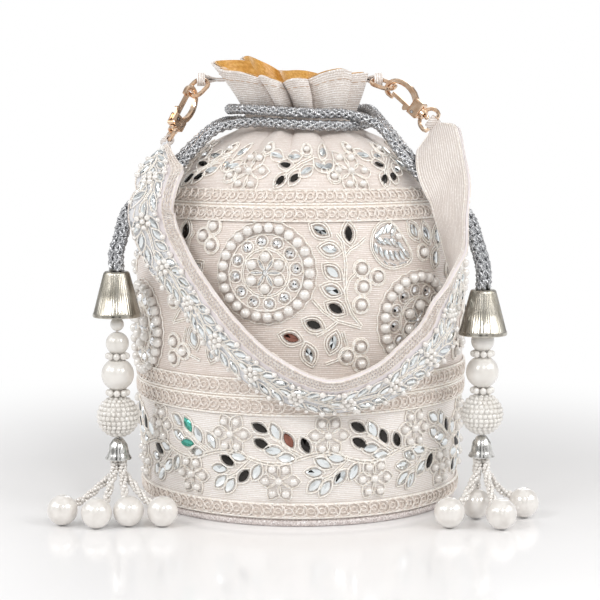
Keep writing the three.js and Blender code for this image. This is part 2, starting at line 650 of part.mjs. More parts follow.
// Swivel eye: a D of wire whose crown turns on the hook's stem
function eyeGeometry() {
  const half = EYE_WIDTH / 2;
  const outline = [
    [0, -1.3], [2.6, -1.5], [half - 0.9, -2.9], [half, -5.2], [half - 0.3, -EYE_DROP + 0.5],
    [half - 1.2, -EYE_DROP], [0, -EYE_DROP], [-half + 1.2, -EYE_DROP], [-half + 0.3, -EYE_DROP + 0.5],
    [-half, -5.2], [-half + 0.9, -2.9], [-2.6, -1.5],
  ];
  const path = new THREE.CatmullRomCurve3(outline.map(([x, z]) => new THREE.Vector3(x, 0, z)), true);
  const ring = new THREE.TubeGeometry(path, 24, EYE_WIRE / 2, 8, true);
  const crown = turned([[0, -2.2], [2.5, -2.2], [2.5, -GAP], [0, -GAP]], 12);
  const bore = turned([[0, -4], [STEM_DIAMETER / 2 + RUN, -4], [STEM_DIAMETER / 2 + RUN, 1], [0, 1]], 12);
  return combine(ring, { add: [crown], cut: [bore] });
}

// A group whose local X, Y and Z lie along three given directions
function framed(origin, xAxis, yAxis, zAxis) {
  const group = new THREE.Group();
  group.quaternion.setFromRotationMatrix(new THREE.Matrix4().makeBasis(xAxis, yAxis, zAxis));
  group.position.copy(origin);
  return group;
}

const ruffleReach = profileAt(TAB_HEIGHT - 3).point.x + PLEAT_AT_RIM;
const strapEnds = [];

function makeHardware({ side, sign, linkFall, linkSwing, hookFall, hookRoll, eyeRoll }) {
  const hold = new THREE.Vector3(sign * (ruffleReach + TAB_STAND) + RUFFLE_LEAN, TAB_Y, TAB_HEIGHT);
  const tab = addMesh(bag, `${side}_tab`, tabGeometry(sign), ruffleCloth);
  tab.position.copy(hold);
  // The link's plane holds the X axis, so that it swings in the tab's loop
  const fall = new THREE.Vector3(...linkFall).normalize();
  const swing = THREE.MathUtils.degToRad(linkSwing);
  const [sine, cosine] = [Math.sin(swing), Math.cos(swing)];
  const along = fall.clone().multiplyScalar(cosine).addScaledVector(alongX, sign * sine);
  const across = fall.clone().multiplyScalar(-sine).addScaledVector(alongX, sign * cosine);
  const nearArc = hold.clone().addScaledVector(fall, LINK_WIDTH / 2);
  const linkMiddle = nearArc.clone().addScaledVector(along, (LINK_LENGTH - LINK_WIDTH) / 2);
  const linkGroup = framed(linkMiddle, across, along, across.clone().cross(along));
  bag.add(linkGroup);
  addMesh(linkGroup, `${side}_link`, linkGeometry(), paleBrass);
  // The hook hangs on the link's far end
  const seat = linkMiddle.clone().addScaledVector(along, LINK_LENGTH / 2);
  const up = new THREE.Vector3(...hookFall).normalize().negate();
  const level = across.clone().addScaledVector(up, -across.dot(up)).normalize();
  const normal = level.clone().applyAxisAngle(up, THREE.MathUtils.degToRad(hookRoll));
  const aside = normal.clone().cross(up);
  const origin = seat.clone().addScaledVector(aside, -WIRE_SEAT[0]).addScaledVector(up, -WIRE_SEAT[1]);
  const hookGroup = framed(origin, aside, normal, up);
  bag.add(hookGroup);
  addMesh(hookGroup, `${side}_hook`, hookGeometry(), paleBrass);
  addMesh(hookGroup, `${side}_gate`, gateGeometry(), paleBrass);
  const pin = new THREE.CylinderGeometry(GATE_PIN / 2, GATE_PIN / 2, HOOK_BASE_DEPTH, 12);
  addMesh(hookGroup, `${side}_gate_pin`, pin, silverPlate).position.set(GATE_PIVOT[0], 0, GATE_PIVOT[1]);
  addMesh(hookGroup, `${side}_gate_spring`, springGeometry(), silverPlate);
  const eyeAside = aside.clone().applyAxisAngle(up, THREE.MathUtils.degToRad(eyeRoll));
  const eyeGroup = framed(origin, eyeAside, up.clone().cross(eyeAside), up);
  bag.add(eyeGroup);
  addMesh(eyeGroup, `${side}_swivel_eye`, eyeGeometry(), paleBrass);
  const bar = origin.clone().addScaledVector(up, -EYE_DROP);
  strapEnds.push({ bar, across: eyeAside, fall: up.clone().negate() });
}

HARDWARE.forEach(makeHardware);

// Strap route between the two eyes: middle of the band and the way from its upper edge to its lower edge
const STRAP_ROUTE = [
  { middle: [-66, -46, 167], width: [-0.95, 0.3, 0] },
  { middle: [-65.8, -62, 156], width: [-0.7, 0.7, 0] },
  { middle: [-69, -62.5, 145.6], width: [-0.92, 0.38, -0.1] },
  { middle: [-64, -63, 129.4], width: [-0.87, 0.48, -0.1] },
  { middle: [-52, -73, 113], width: [-0.58, 0.68, -0.45] },
  { middle: [-33.8, -85, 89.8], width: [-0.45, 0.55, -0.7] },
  { middle: [-13.3, -92, 73.5], width: [-0.25, 0.6, -0.76] },
  { middle: [12.8, -94, 64.3], width: [0, 0.7, -0.71] },
  { middle: [36.8, -90, 69.6], width: [0.3, 0.62, -0.72] },
  { middle: [52.6, -82, 80.2], width: [0.5, 0.58, -0.64] },
  { middle: [62.7, -74, 89.3], width: [0.6, 0.62, -0.5] },
  { middle: [67.5, -68, 102.4], width: [0.5, 0.85, -0.1] },
  { middle: [71, -66, 114.7], width: [0.2, 0.97, 0] },
  { middle: [71.5, -65, 128], width: [-0.3, 0.95, 0] },
  { middle: [69.5, -68, 144], width: [-0.53, 0.85, 0] },
  { middle: [68.8, -66, 155.7], width: [-0.7, 0.71, 0] },
  { middle: [66, -56, 167], width: [-0.8, 0.6, 0.05] },
  { middle: [65.5, -42, 178], width: [-0.75, 0.5, -0.3] },
];
const STRAP_TAPERS = [30, 13]; // length over which each end narrows to its eye
const LOOP_RADIUS = 2.5;

function strapGeometry() {
  const loopLength = EYE_WIDTH - EYE_WIRE - 2 * GAP - 2.4;
  const [left, right] = strapEnds;
  const endPoint = (end) => end.bar.clone().addScaledVector(end.fall, LOOP_RADIUS - 0.5);
  const towards = ({ across }, other) =>
    (across.dot(new THREE.Vector3(...other)) < 0 ? across.clone().negate() : across);
  const last = STRAP_ROUTE.length - 1;
  const middle = new THREE.CatmullRomCurve3([
    endPoint(left), ...STRAP_ROUTE.map((station) => new THREE.Vector3(...station.middle)), endPoint(right),
  ], false, "centripetal");
  const width = new THREE.CatmullRomCurve3([
    towards(left, STRAP_ROUTE[0].width), ...STRAP_ROUTE.map((station) => new THREE.Vector3(...station.width)),
    towards(right, STRAP_ROUTE[last].width),
  ], false, "centripetal");
  const length = middle.getLength();
  const corners = [];
  for (const share of steps(0, 1, STRAP_STEPS)) {
    const at = middle.getUtoTmapping(share);
    const centre = middle.getPoint(at);
    const along = middle.getTangent(at);
    const across = width.getPoint(at);
    across.addScaledVector(along, -across.dot(along)).normalize();
    const face = across.clone().cross(along);
    const fromLeft = THREE.MathUtils.smoothstep(share * length, 0, STRAP_TAPERS[0]);
    const fromRight = THREE.MathUtils.smoothstep((1 - share) * length, 0, STRAP_TAPERS[1]);
    const half = THREE.MathUtils.lerp(loopLength, STRAP_WIDTH, Math.min(fromLeft, fromRight)) / 2;
    const ring = [[-half, 1], [half, 1], [half, -1], [-half, -1]].map(([side, out]) =>
      centre.clone().addScaledVector(across, side).addScaledVector(face, (out * STRAP_THICKNESS) / 2));
    corners.push(ring);
  }
  const band = loft(corners);
  const loops = strapEnds.map(({ bar, across, fall }) =>
    loopCylinder(bar, across, fall, LOOP_RADIUS, loopLength));
  const holes = strapEnds.map(({ bar, across, fall }) =>
    loopCylinder(bar, across, fall, EYE_WIRE / 2 + RUN, STRAP_WIDTH));
  return combine(band, { add: loops, cut: holes });
}

// A short round bar along the eye's straight side
function loopCylinder(bar, across, fall, radius, length) {
  const cylinder = new THREE.CylinderGeometry(radius, radius, length, 12);
  const side = across.clone().cross(fall);
  const turn = new THREE.Matrix4().makeBasis(fall, across, side.negate());
  return cylinder.applyMatrix4(turn.setPosition(bar));
}

// Skin a row of four-cornered sections and close both ends
function loft(sections) {
  const positions = sections.flat().flatMap((point) => point.toArray());
  const index = [];
  const quad = (a, b, c, d) => index.push(a, b, c, a, c, d);
  for (let i = 0; i + 1 < sections.length; i += 1) {
    for (let k = 0; k < 4; k += 1) {
      const next = (k + 1) % 4;
      quad(4 * i + k, 4 * i + next, 4 * i + 4 + next, 4 * i + 4 + k);
    }
  }
  const end = 4 * (sections.length - 1);
  quad(3, 2, 1, 0);
  quad(end, end + 1, end + 2, end + 3);
  const geometry = new THREE.BufferGeometry();
  geometry.setAttribute("position", new THREE.Float32BufferAttribute(positions, 3));
  geometry.setIndex(index);
  return geometry;
}

addMesh(bag, "strap", strapGeometry(), strapCloth);

export default bag;
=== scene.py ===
import bisect
import json
import math
import random

import bpy
from mathutils import Matrix, Vector

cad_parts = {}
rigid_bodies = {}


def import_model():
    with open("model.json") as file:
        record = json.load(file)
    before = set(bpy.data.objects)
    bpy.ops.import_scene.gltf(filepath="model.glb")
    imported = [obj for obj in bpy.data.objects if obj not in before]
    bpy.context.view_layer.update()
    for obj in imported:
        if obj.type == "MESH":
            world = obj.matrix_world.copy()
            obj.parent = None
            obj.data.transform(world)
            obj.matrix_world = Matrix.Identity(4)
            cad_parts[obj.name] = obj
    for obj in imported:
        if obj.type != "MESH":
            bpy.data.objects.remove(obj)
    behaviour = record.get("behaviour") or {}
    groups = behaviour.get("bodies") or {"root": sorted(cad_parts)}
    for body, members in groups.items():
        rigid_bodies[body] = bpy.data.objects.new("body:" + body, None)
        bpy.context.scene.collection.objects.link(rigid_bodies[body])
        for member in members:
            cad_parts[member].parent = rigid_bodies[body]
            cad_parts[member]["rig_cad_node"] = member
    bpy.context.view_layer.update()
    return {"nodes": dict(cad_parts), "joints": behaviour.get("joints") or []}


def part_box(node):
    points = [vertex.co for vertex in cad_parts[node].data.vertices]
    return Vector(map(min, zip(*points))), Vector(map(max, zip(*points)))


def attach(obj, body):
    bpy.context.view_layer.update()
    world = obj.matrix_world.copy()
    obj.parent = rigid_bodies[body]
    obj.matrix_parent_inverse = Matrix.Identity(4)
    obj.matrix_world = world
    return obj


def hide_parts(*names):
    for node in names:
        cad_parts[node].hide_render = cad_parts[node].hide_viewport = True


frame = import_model()
MM = 0.001

# Studio: a white sweep with a soft sheen, lit by large soft lamps, and the
# camera at the photograph's place. Dark cards beside the camera give the
# mirrors and metal something to show.


def linear(code):
    parts = [int(code[i:i + 2], 16) / 255 for i in (0, 2, 4)]
    return [*(c / 12.92 if c <= 0.04045 else ((c + 0.055) / 1.055) ** 2.4 for c in parts), 1]


def add_node(tree, kind, inputs=None, stops=(), **settings):
    made = tree.nodes.new("ShaderNode" + kind)
    for key, value in settings.items():
        setattr(made, key, value)
    for key, value in (inputs or {}).items():
        if isinstance(value, bpy.types.NodeSocket):
            tree.links.new(value, made.inputs[key])
        else:
            made.inputs[key].default_value = value
    if stops:
        band = made.color_ramp.elements
        while len(band) < len(stops):
            band.new(0.5)
        for element, (position, code) in zip(band, stops):
            element.position = position
            element.color = linear(code)
    return made


def new_material(name, colour, roughness, metallic=0.0, **sockets):
    material = bpy.data.materials.new(name)
    material.use_nodes = True
    shader = material.node_tree.nodes["Principled BSDF"]
    shader.inputs["Base Color"].default_value = linear(colour)
    shader.inputs["Roughness"].default_value = roughness
    shader.inputs["Metallic"].default_value = metallic
    for key, value in sockets.items():
        shader.inputs[key.replace("_", " ")].default_value = value
    return material, material.node_tree, shader


bpy.ops.object.select_all(action="DESELECT")
bpy.ops.mesh.primitive_plane_add(size=6, location=(0, 0, 0))
floor = bpy.context.object
floor.name = "studio_floor"
bpy.ops.object.transform_apply(location=True, rotation=True, scale=True)
sweep, tree, shader = new_material("white_acrylic_sweep", "F4F3F3", 0.12, Specular_IOR_Level=0.3)
rays = add_node(tree, "LightPath")
seen = add_node(tree, "Math", {0: rays.outputs["Is Camera Ray"], 1: rays.outputs["Is Glossy Ray"]},
                operation="MAXIMUM")
lift = add_node(tree, "Math", {0: seen.outputs[0], 1: 0.03}, operation="MULTIPLY")
glow = add_node(tree, "Emission", {"Color": linear("FFFFFF"), "Strength": lift.outputs[0]})
both = add_node(tree, "AddShader", {0: shader.outputs["BSDF"], 1: glow.outputs["Emission"]})
place = add_node(tree, "TexCoord")
away = add_node(tree, "VectorMath", {0: place.outputs["Object"]}, operation="LENGTH")
fade = add_node(tree, "MapRange",
                {"Value": away.outputs["Value"], "From Min": 0.15, "From Max": 0.42},
                interpolation_type="SMOOTHSTEP")
far = add_node(tree, "Emission", {"Color": linear("FFFFFF"), "Strength": 1.0})
whole = add_node(tree, "MixShader",
                 {0: fade.outputs["Result"], 1: both.outputs[0], 2: far.outputs["Emission"]})
tree.links.new(whole.outputs[0], tree.nodes["Material Output"].inputs["Surface"])
floor.data.materials.append(sweep)

world = bpy.data.worlds.new("white_room")
bpy.context.scene.world = world
world.use_nodes = True
tree = world.node_tree
rays = add_node(tree, "LightPath")
seen = add_node(tree, "Math",
                {0: rays.outputs["Is Camera Ray"], 1: rays.outputs["Is Transmission Ray"]},
                operation="MAXIMUM")
way = add_node(tree, "TexCoord")
walls = add_node(tree, "TexNoise",
                 {"Vector": way.outputs["Generated"], "Scale": 2.6, "Detail": 0.0})
panels = add_node(tree, "MapRange", {"Value": walls.outputs["Fac"], "From Min": 0.36,
                  "From Max": 0.64, "To Min": 0.42, "To Max": 0.98})
shine = add_node(tree, "MapRange", {"Value": rays.outputs["Is Glossy Ray"], "To Min": 0.5,
                 "To Max": panels.outputs["Result"]})
dim = add_node(tree, "MapRange",
               {"Value": seen.outputs[0], "To Min": shine.outputs["Result"], "To Max": 1.0})
tree.links.new(dim.outputs["Result"], tree.nodes["Background"].inputs["Strength"])
tree.nodes["Background"].inputs["Color"].default_value = linear("FFFFFF")

LAMPS = [
    ("key_lamp", (-1.0, -1.1, 1.1), 0.6, 8.5),
    ("fill_lamp", (1.1, -1.0, 1.0), 0.6, 6.5),
    ("left_lamp", (-1.4, -0.3, 0.95), 0.8, 4.4),
    ("right_lamp", (1.4, -0.3, 0.95), 0.8, 4.8),
    ("spark_lamp", (0.25, -1.2, 1.0), 0.22, 2.8),
    ("top_lamp", (0.0, 0.15, 1.5), 1.0, 0.8),
    ("back_lamp", (0.3, 1.3, 0.9), 0.9, 4.5),
]
for name, place, size, power in LAMPS:
    bpy.ops.object.light_add(type="AREA", location=place)
    lamp = bpy.context.object
    lamp.name = name
    lamp.data.size = size
    lamp.data.energy = power
    aim = Vector((0, 0, 0.1)) - Vector(place)
    lamp.rotation_euler = aim.to_track_quat("-Z", "Y").to_euler()

black_card = new_material("black_card", "161617", 0.9)[0]
CARDS = [
    ("card_left", (-0.38, -1.5, 0.3), (0.34, 0.9)),
    ("card_right", (0.42, -1.5, 0.25), (0.3, 0.9)),
    ("card_low", (0.0, -1.6, -0.02), (0.5, 0.16)),
]
for name, place, size in CARDS:
    bpy.ops.mesh.primitive_plane_add(size=1, location=place, rotation=(math.pi / 2, 0, 0))
    card = bpy.context.object
    card.name = name
    card.scale = (size[0], size[1], 1)
    bpy.ops.object.transform_apply(location=True, rotation=True, scale=True)
    card.data.materials.append(black_card)
    card.visible_camera = False
    card.visible_shadow = False
    card.visible_diffuse = False

bpy.ops.object.camera_add(location=(0, -0.9, 0.195), rotation=(math.pi / 2 - math.atan2(194, 1800), 0, 0))
camera = bpy.context.object
camera.data.sensor_width = 36
camera.data.lens = 108
camera.data.clip_start = 0.01
bpy.context.scene.camera = camera
bpy.context.scene.view_settings.view_transform = "Standard"

# Base: a stiff disc covered in lilac lurex, with a piped rim of the same
# cloth sewn in where the wall meets it. The board inside stays out of sight.
rng = random.Random(7)


def keep_active(name, material, body, *nodes):
    piece = bpy.context.object
    piece.name = name
    piece.data.name = name
    piece.data.materials.clear()
    piece.data.materials.append(material)
    if nodes:
        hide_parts(*nodes)
    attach(piece, body)
    return piece


def edit_mesh():
    bpy.ops.object.mode_set(mode="EDIT")
    bpy.ops.mesh.select_mode(type="VERT")
    bpy.ops.mesh.select_all(action="SELECT")


def done_editing(smooth=40):
    bpy.ops.object.mode_set(mode="OBJECT")
    bpy.ops.object.select_all(action="DESELECT")
    bpy.context.object.select_set(True)
    bpy.ops.object.shade_smooth_by_angle(angle=math.radians(smooth))


def turned(outline, steps, centre=(0, 0, 0), smooth=40):
    """A shape spun on a lathe: its outline of radius and height in mm goes round the upright axis."""
    bpy.ops.object.select_all(action="DESELECT")
    bpy.ops.mesh.primitive_plane_add(size=1)
    edit_mesh()
    bpy.ops.mesh.delete(type="VERT")
    bpy.ops.object.mode_set(mode="OBJECT")
    mesh = bpy.context.object.data
    mesh.vertices.add(len(outline))
    mesh.edges.add(len(outline) - 1)
    for vertex, (radius, height) in zip(mesh.vertices, outline):
        vertex.co = (radius * MM, 0, height * MM)
    for i, edge in enumerate(mesh.edges):
        edge.vertices = (i, i + 1)
    edit_mesh()
    bpy.ops.mesh.spin(steps=steps, angle=2 * math.pi, center=(0, 0, 0), axis=(0, 0, 1))
    bpy.ops.mesh.select_all(action="SELECT")
    bpy.ops.mesh.remove_doubles(threshold=1e-6)
    bpy.ops.mesh.normals_make_consistent(inside=False)
    bpy.ops.transform.translate(value=[c * MM for c in centre])
    done_editing(smooth)
    return bpy.context.object


def mottled(name, colour, finish, scale, stops, detail=2.0, stretch=None, woven=False, bump=None, **sockets):
    """A finish (roughness and metal) whose colour drifts between the stops, with relief if bump is given."""
    material, tree, shader = new_material(name, colour, *finish, **sockets)
    if woven:
        vector = add_node(tree, "UVMap", uv_map="weave").outputs["UV"]
    else:
        vector = add_node(tree, "TexCoord").outputs["Object"]
    if stretch:
        vector = add_node(tree, "Mapping", {"Vector": vector, "Scale": stretch}).outputs["Vector"]
    noise = add_node(tree, "TexNoise", {"Vector": vector, "Scale": scale, "Detail": detail})
    drift = noise.outputs["Fac"]
    tone = add_node(tree, "ValToRGB", {"Fac": drift}, stops)
    tree.links.new(tone.outputs["Color"], shader.inputs["Base Color"])
    if bump:
        relief = add_node(tree, "Bump", {"Height": drift, "Strength": bump[0], "Distance": bump[1]})
        tree.links.new(relief.outputs["Normal"], shader.inputs["Normal"])
    return material


lurex, tree, shader = new_material("lilac_lurex_piping", "D2C7C5", 0.38, 0.2)
place = add_node(tree, "TexCoord")
# Flecks of random tone, one per cell: partly the metallic yarn's own colour, and the brightest, near-white
# ones are painted glints.
flecks = add_node(tree, "TexVoronoi", {"Vector": place.outputs["Object"], "Scale": 1400.0})
tone = add_node(tree, "ValToRGB", {"Fac": flecks.outputs["Color"]},
                [(0.0, "BDB2B0"), (0.45, "DCD2CE"), (0.75, "EDE6E3"), (1.0, "FFFDFD")])
tree.links.new(tone.outputs["Color"], shader.inputs["Base Color"])
grain = add_node(tree, "Bump",
                 {"Height": flecks.outputs["Distance"], "Strength": 0.5, "Distance": 0.0006})
tree.links.new(grain.outputs["Normal"], shader.inputs["Normal"])

PIPING, PIPING_REACH = 1.9, 76.3
rim = []
for degrees in range(-90, 181, 15):
    a = math.radians(degrees)
    rim.append((PIPING_REACH + PIPING * math.cos(a), PIPING + PIPING * math.sin(a)))
turned([(0, 0), (40, 0), *rim, (40, 2.0), (0, 2.0)], 160)
keep_active("base_panel_cloth", lurex, "bag", "base_panel")
board_kraft = mottled("grey_base_board", "B09A78", (0.9,), 300.0, [(0.3, "9A8666"), (0.7, "BCA684")])
board = frame["nodes"]["base_board"]
board.data.materials.clear()
board.data.materials.append(board_kraft)

# Cloth of the pouch: three tiers of ivory lurex rib, sewn into a barrel that
# swells at the belly, rounds in at the shoulder and is gathered at the neck.
PROFILE = [(78, 3.7), (79.75, 31), (80.9, 62), (81.5, 105), (79.25, 131), (74, 149), (60.56, 165.38),
           (43.28, 177.47), (29, 184), (26, 188), (27.5, 194), (36, 209)]
HIGH_SEAM, NECK, RIM_FRONT = 149, 188, 209
BELLY = 81.5
WALL_STEPS = 600
CREASES = [-168, -128, -92, -27, -6, 17, 62, 104, 146]
RIM = [(-180, 212), (-140, 219), (-90, 213.5), (-45, 210.5), (0, 206.5), (42, 211.5), (90, 210), (140, 209.5),
       (180, 212)]


def profile_point(share):
    spot = share * (len(PROFILE) - 1)
    i = min(int(spot), len(PROFILE) - 2)
    t = spot - i
    a, b = PROFILE[max(i - 1, 0)], PROFILE[i]
    c, d = PROFILE[i + 1], PROFILE[min(i + 2, len(PROFILE) - 1)]
    out = []
    for k in (0, 1):
        v0, v1 = (c[k] - a[k]) / 2, (d[k] - b[k]) / 2
        out.append((2 * b[k] - 2 * c[k] + v0 + v1) * t ** 3
                   + (-3 * b[k] + 3 * c[k] - 2 * v0 - v1) * t ** 2 + v0 * t + b[k])
    return out


WALL = [profile_point(i / WALL_STEPS) for i in range(WALL_STEPS + 1)]
HEIGHTS = [height for _, height in WALL]
RUN = [0.0]
for (r0, h0), (r1, h1) in zip(WALL, WALL[1:]):
    RUN.append(RUN[-1] + math.hypot(r1 - r0, h1 - h0))


def last_below(values, value):
    """Where the last of these rising values lies that is below a value, short of their end."""
    return min(max(bisect.bisect_left(values, value) - 1, 0), len(values) - 2)


def wall_at(height):
    """Radius of the cloth at a height, its way out in the profile plane and the length of cloth below."""
    low = last_below(HEIGHTS, height)
    (r0, h0), (r1, h1) = WALL[low], WALL[low + 1]
    t = (height - h0) / (h1 - h0)
    size = math.hypot(r1 - r0, h1 - h0)
    return r0 + (r1 - r0) * t, ((h1 - h0) / size, -(r1 - r0) / size), RUN[low] + t * size


def smooth_step(value, low, high):
    t = min(max((value - low) / (high - low), 0), 1)
    return t * t * (3 - 2 * t)


def rim_height(turn):
    """Height of the ruffle's edge, which stands highest at the left of the back."""
    degrees = (math.degrees(turn) + 180) % 360 - 180
    for (a, low), (b, high) in zip(RIM, RIM[1:]):
        if degrees <= b:
            return low + (high - low) * smooth_step(degrees, a, b)


def fold_wave(turn):
    """Gathered folds: a round crest between each two creases, 1 on the crest and -1 in the crease."""
    degrees = (math.degrees(turn) - CREASES[0]) % 360 + CREASES[0]
    for low, high in zip(CREASES, [*CREASES[1:], CREASES[0] + 360]):
        if degrees <= high:
            return 2 * math.sin(math.pi * (degrees - low) / (high - low)) ** 0.7 - 1


def cloth_point(turn, height, lift=0.0):
    """A point on the gathered cloth or off it, in mm. turn is 0 at the front and grows to the right."""
    radius, (out, up), _ = wall_at(height)
    radius, z = radius + out * lift, height + up * lift
    rise = smooth_step(z, HIGH_SEAM + 4, NECK)
    flare = min(max((z - NECK) / (RIM_FRONT - NECK), 0), 1)
    turn = (turn + math.pi) % (2 * math.pi) - math.pi
    folds = fold_wave(turn)
    sides = math.exp(-((abs(turn) - 1.53) / 0.24) ** 2)
    radius += rise * (3.3 + 2.8 * flare * (1 - 0.7 * sides)) * folds * (1 - 0.4 * sides) - 0.9 * rise
    radius += flare * (1 - sides) * (1.8 * math.cos(4 * turn + 0.9) + 0.7 * math.cos(19 * turn))
    radius += rise * (1 - flare) * 0.6 * math.cos(27 * turn + 1.3)
    radius += 0.35 * math.sin(3 * turn + 0.045 * z) * math.sin(math.pi * min(z / HIGH_SEAM, 1))
    z += flare * (rim_height(turn) - RIM_FRONT + 1.0 * folds)
    return Vector((radius * math.sin(turn) - 5 * flare ** 2, -radius * math.cos(turn), z))


def weave_layer(mesh):
    layer = mesh.uv_layers[0] if mesh.uv_layers else mesh.uv_layers.new(name="weave")
    layer.name = "weave"
    return layer


def thicken(piece, thickness, offset):
    wall = piece.modifiers.new("wall", "SOLIDIFY")
    wall.thickness = thickness * MM
    wall.offset = offset
    bpy.ops.object.modifier_apply(modifier="wall")
    bpy.ops.object.shade_smooth_by_angle(angle=math.radians(50))


def raise_cloth(heights, columns, lift, thickness):
    """A ring of cloth drawn up through these heights, edge by edge, then shaped and given its thickness."""
    bpy.ops.object.select_all(action="DESELECT")
    bpy.ops.mesh.primitive_circle_add(vertices=columns, radius=1.0, location=(0, 0, 0))
    edit_mesh()
    bpy.ops.transform.translate(value=(0, 0, heights[0]))
    for low, high in zip(heights, heights[1:]):
        bpy.ops.mesh.extrude_region_move(TRANSFORM_OT_translate={"value": (0, 0, high - low)})
    bpy.ops.mesh.select_all(action="SELECT")
    bpy.ops.mesh.normals_make_consistent(inside=False)
    bpy.ops.object.mode_set(mode="OBJECT")
    piece = bpy.context.object
    mesh = piece.data
    turns = [math.atan2(v.co.x, -v.co.y) for v in mesh.vertices]
    levels = [v.co.z for v in mesh.vertices]
    weave = weave_layer(mesh)
    for face in mesh.polygons:
        around = [turns[i] for i in face.vertices]
        wraps = max(around) - min(around) > math.pi
        for loop, i, turn in zip(face.loop_indices, face.vertices, around):
            turn += 2 * math.pi if wraps and turn < 0 else 0
            weave.data[loop].uv = (turn * BELLY * MM, wall_at(levels[i])[2] * MM)
    for vertex, turn, level in zip(mesh.vertices, turns, levels):
        vertex.co = cloth_point(turn, level, lift) * MM
    thicken(piece, thickness, -1)


def rib_cloth(name, rib, dark, middle, light, bright, painted_glint_strength=0.2):
    """Lurex: weft ribs that many mm apart, with a metallic yarn whose light-catching short dashes are painted
    into the colour, and painted glints in bright specks.
    """
    material, tree, shader = new_material(name, middle, 0.52, Sheen_Weight=0.25, Sheen_Roughness=0.4)
    weave = add_node(tree, "UVMap", uv_map="weave")
    ribs = add_node(tree, "TexWave", {"Vector": weave.outputs["UV"], "Scale": 0.314 / rib / MM,
                    "Distortion": 1.2, "Detail": 1.0, "Detail Scale": 0.4},
                    wave_type="BANDS", bands_direction="Y")
    longways = add_node(tree, "Mapping",
                        {"Vector": weave.outputs["UV"], "Scale": (120.0, 1500.0, 1.0)})
    dashes = add_node(tree, "TexNoise",
                      {"Vector": longways.outputs["Vector"], "Scale": 1.0, "Detail": 2.0})
    clouds = add_node(tree, "TexNoise",
                      {"Vector": weave.outputs["UV"], "Scale": 40.0, "Detail": 2.0})
    mixed = add_node(tree, "Math", {0: ribs.outputs["Fac"], 1: dashes.outputs["Fac"]},
                     operation="MULTIPLY")
    weight = add_node(tree, "Math", {0: clouds.outputs["Fac"], 1: 0.35, 2: mixed.outputs[0]},
                      operation="MULTIPLY_ADD")
    # Painted glints: bright specks of noise push the colour towards the brightest stop, for light caught by
    # the metallic yarn.
    flecks = add_node(tree, "TexNoise",
                      {"Vector": weave.outputs["UV"], "Scale": 1100.0, "Detail": 0.0})
    glint = add_node(tree, "MapRange", {"Value": flecks.outputs["Fac"], "From Min": 0.6,
                     "From Max": 0.72, "To Max": painted_glint_strength})
    weight = add_node(tree, "Math", {0: weight.outputs[0], 1: glint.outputs["Result"]})
    tone = add_node(tree, "ValToRGB", {"Fac": weight.outputs[0]},
                    [(0.12, dark), (0.36, middle), (0.6, light), (0.8, bright)])
    tree.links.new(tone.outputs["Color"], shader.inputs["Base Color"])
    bump = add_node(tree, "Bump", {"Height": mixed.outputs[0], "Strength": 0.4, "Distance": 0.0004})
    tree.links.new(bump.outputs["Normal"], shader.inputs["Normal"])
    return material


ivory_rib = rib_cloth("ivory_lurex_rib", 0.9, "DAD1CA", "E8E0DA", "F0EBE6", "FBF9F7")
# Painted shade: the main tier and the shoulder use the same ivory rib in darker, pinker tones, for the shade
# the strap throws on the main panel.
ivory_rib_painted_shade = rib_cloth("ivory_lurex_rib_painted_shade", 0.9, "CDC0B7", "DCD0C7", "E7DCD5", "F6F1ED")


def spread(low, high, count):
    return [low + (high - low) * i / count for i in range(count + 1)]


raise_cloth(spread(3.7, 62, 14), 180, 0, 1.4)
lower_cloth = keep_active("lower_tier", ivory_rib, "bag", "lower_panel")
raise_cloth(spread(62.2, 149, 20), 180, 0, 1.4)
main_cloth = keep_active("main_tier", ivory_rib_painted_shade, "bag", "main_panel")
raise_cloth(spread(149.2, 188, 24), 360, 0, 1.4)
shoulder_cloth = keep_active("gathered_shoulder", ivory_rib_painted_shade, "bag", "shoulder_panel")

# Ruffle: the same rib above the cords, falling open in soft folds, with its
# top edge turned in and stitched 4 mm below the fold.
# Its last value makes the painted glints stronger than on the other ribs.
ruffle_rib = rib_cloth("ruffle_lurex_rib", 1.15, "C8BCB4", "DCD2CA", "EBE3DD", "FFFDFB", 0.5)
raise_cloth([*spread(188.2, 206, 12), 207.5, 208.6, 209], 360, 0, 1.0)
ruffle_cloth = keep_active("neck_ruffle_cloth", ruffle_rib, "bag", "neck_ruffle")

# Lining: gold satin, one sack inside the cloth. Only its top shows, past the
# ruffle's edge.
gold_satin = mottled("ochre_gold_satin", "CB8F33", (0.36, 0.05), 1.0,
                     [(0.3, "BD8630"), (0.5, "CF983F"), (0.72, "E3B768")],
                     stretch=(500.0, 900.0, 1.0), woven=True, bump=(0.2, 0.0003), Sheen_Weight=0.3)
raise_cloth([*spread(5.4, 150, 16), *spread(154, 208.4, 24)], 360, -2.1, 0.5)
sack = keep_active("satin_lining", gold_satin, "bag", "lining")
FLOOR_REACH = 75.5
turned([(0, 4.9), (40, 4.9), (FLOOR_REACH, 4.9), (FLOOR_REACH, 5.5), (40, 5.5), (0, 5.5)], 96)
lining_floor = keep_active("satin_lining_floor", gold_satin, "bag")
weave = weave_layer(lining_floor.data)
for loop in lining_floor.data.loops:
    spot = lining_floor.data.vertices[loop.vertex_index].co
    weave.data[loop.index].uv = (spot.x, spot.y)

# Thread work shared by lace and embroidery: couched cotton thread laid on the
# cloth in lines, each a thin round thread that stands half out of the surface.
cream_thread = mottled("cream_couching_thread", "FAF4EB", (0.5,), 900.0,
                       [(0.3, "EBE1D5"), (0.5, "FAF4EB"), (0.7, "FFFDF9")], 1.0, Sheen_Weight=0.4)
silver_thread = mottled("silver_zari_thread", "DADCDD", (0.3, 0.6), 1200.0,
                        [(0.3, "9FA3A6"), (0.5, "D6D8DA"), (0.7, "FFFFFF")], 1.0)


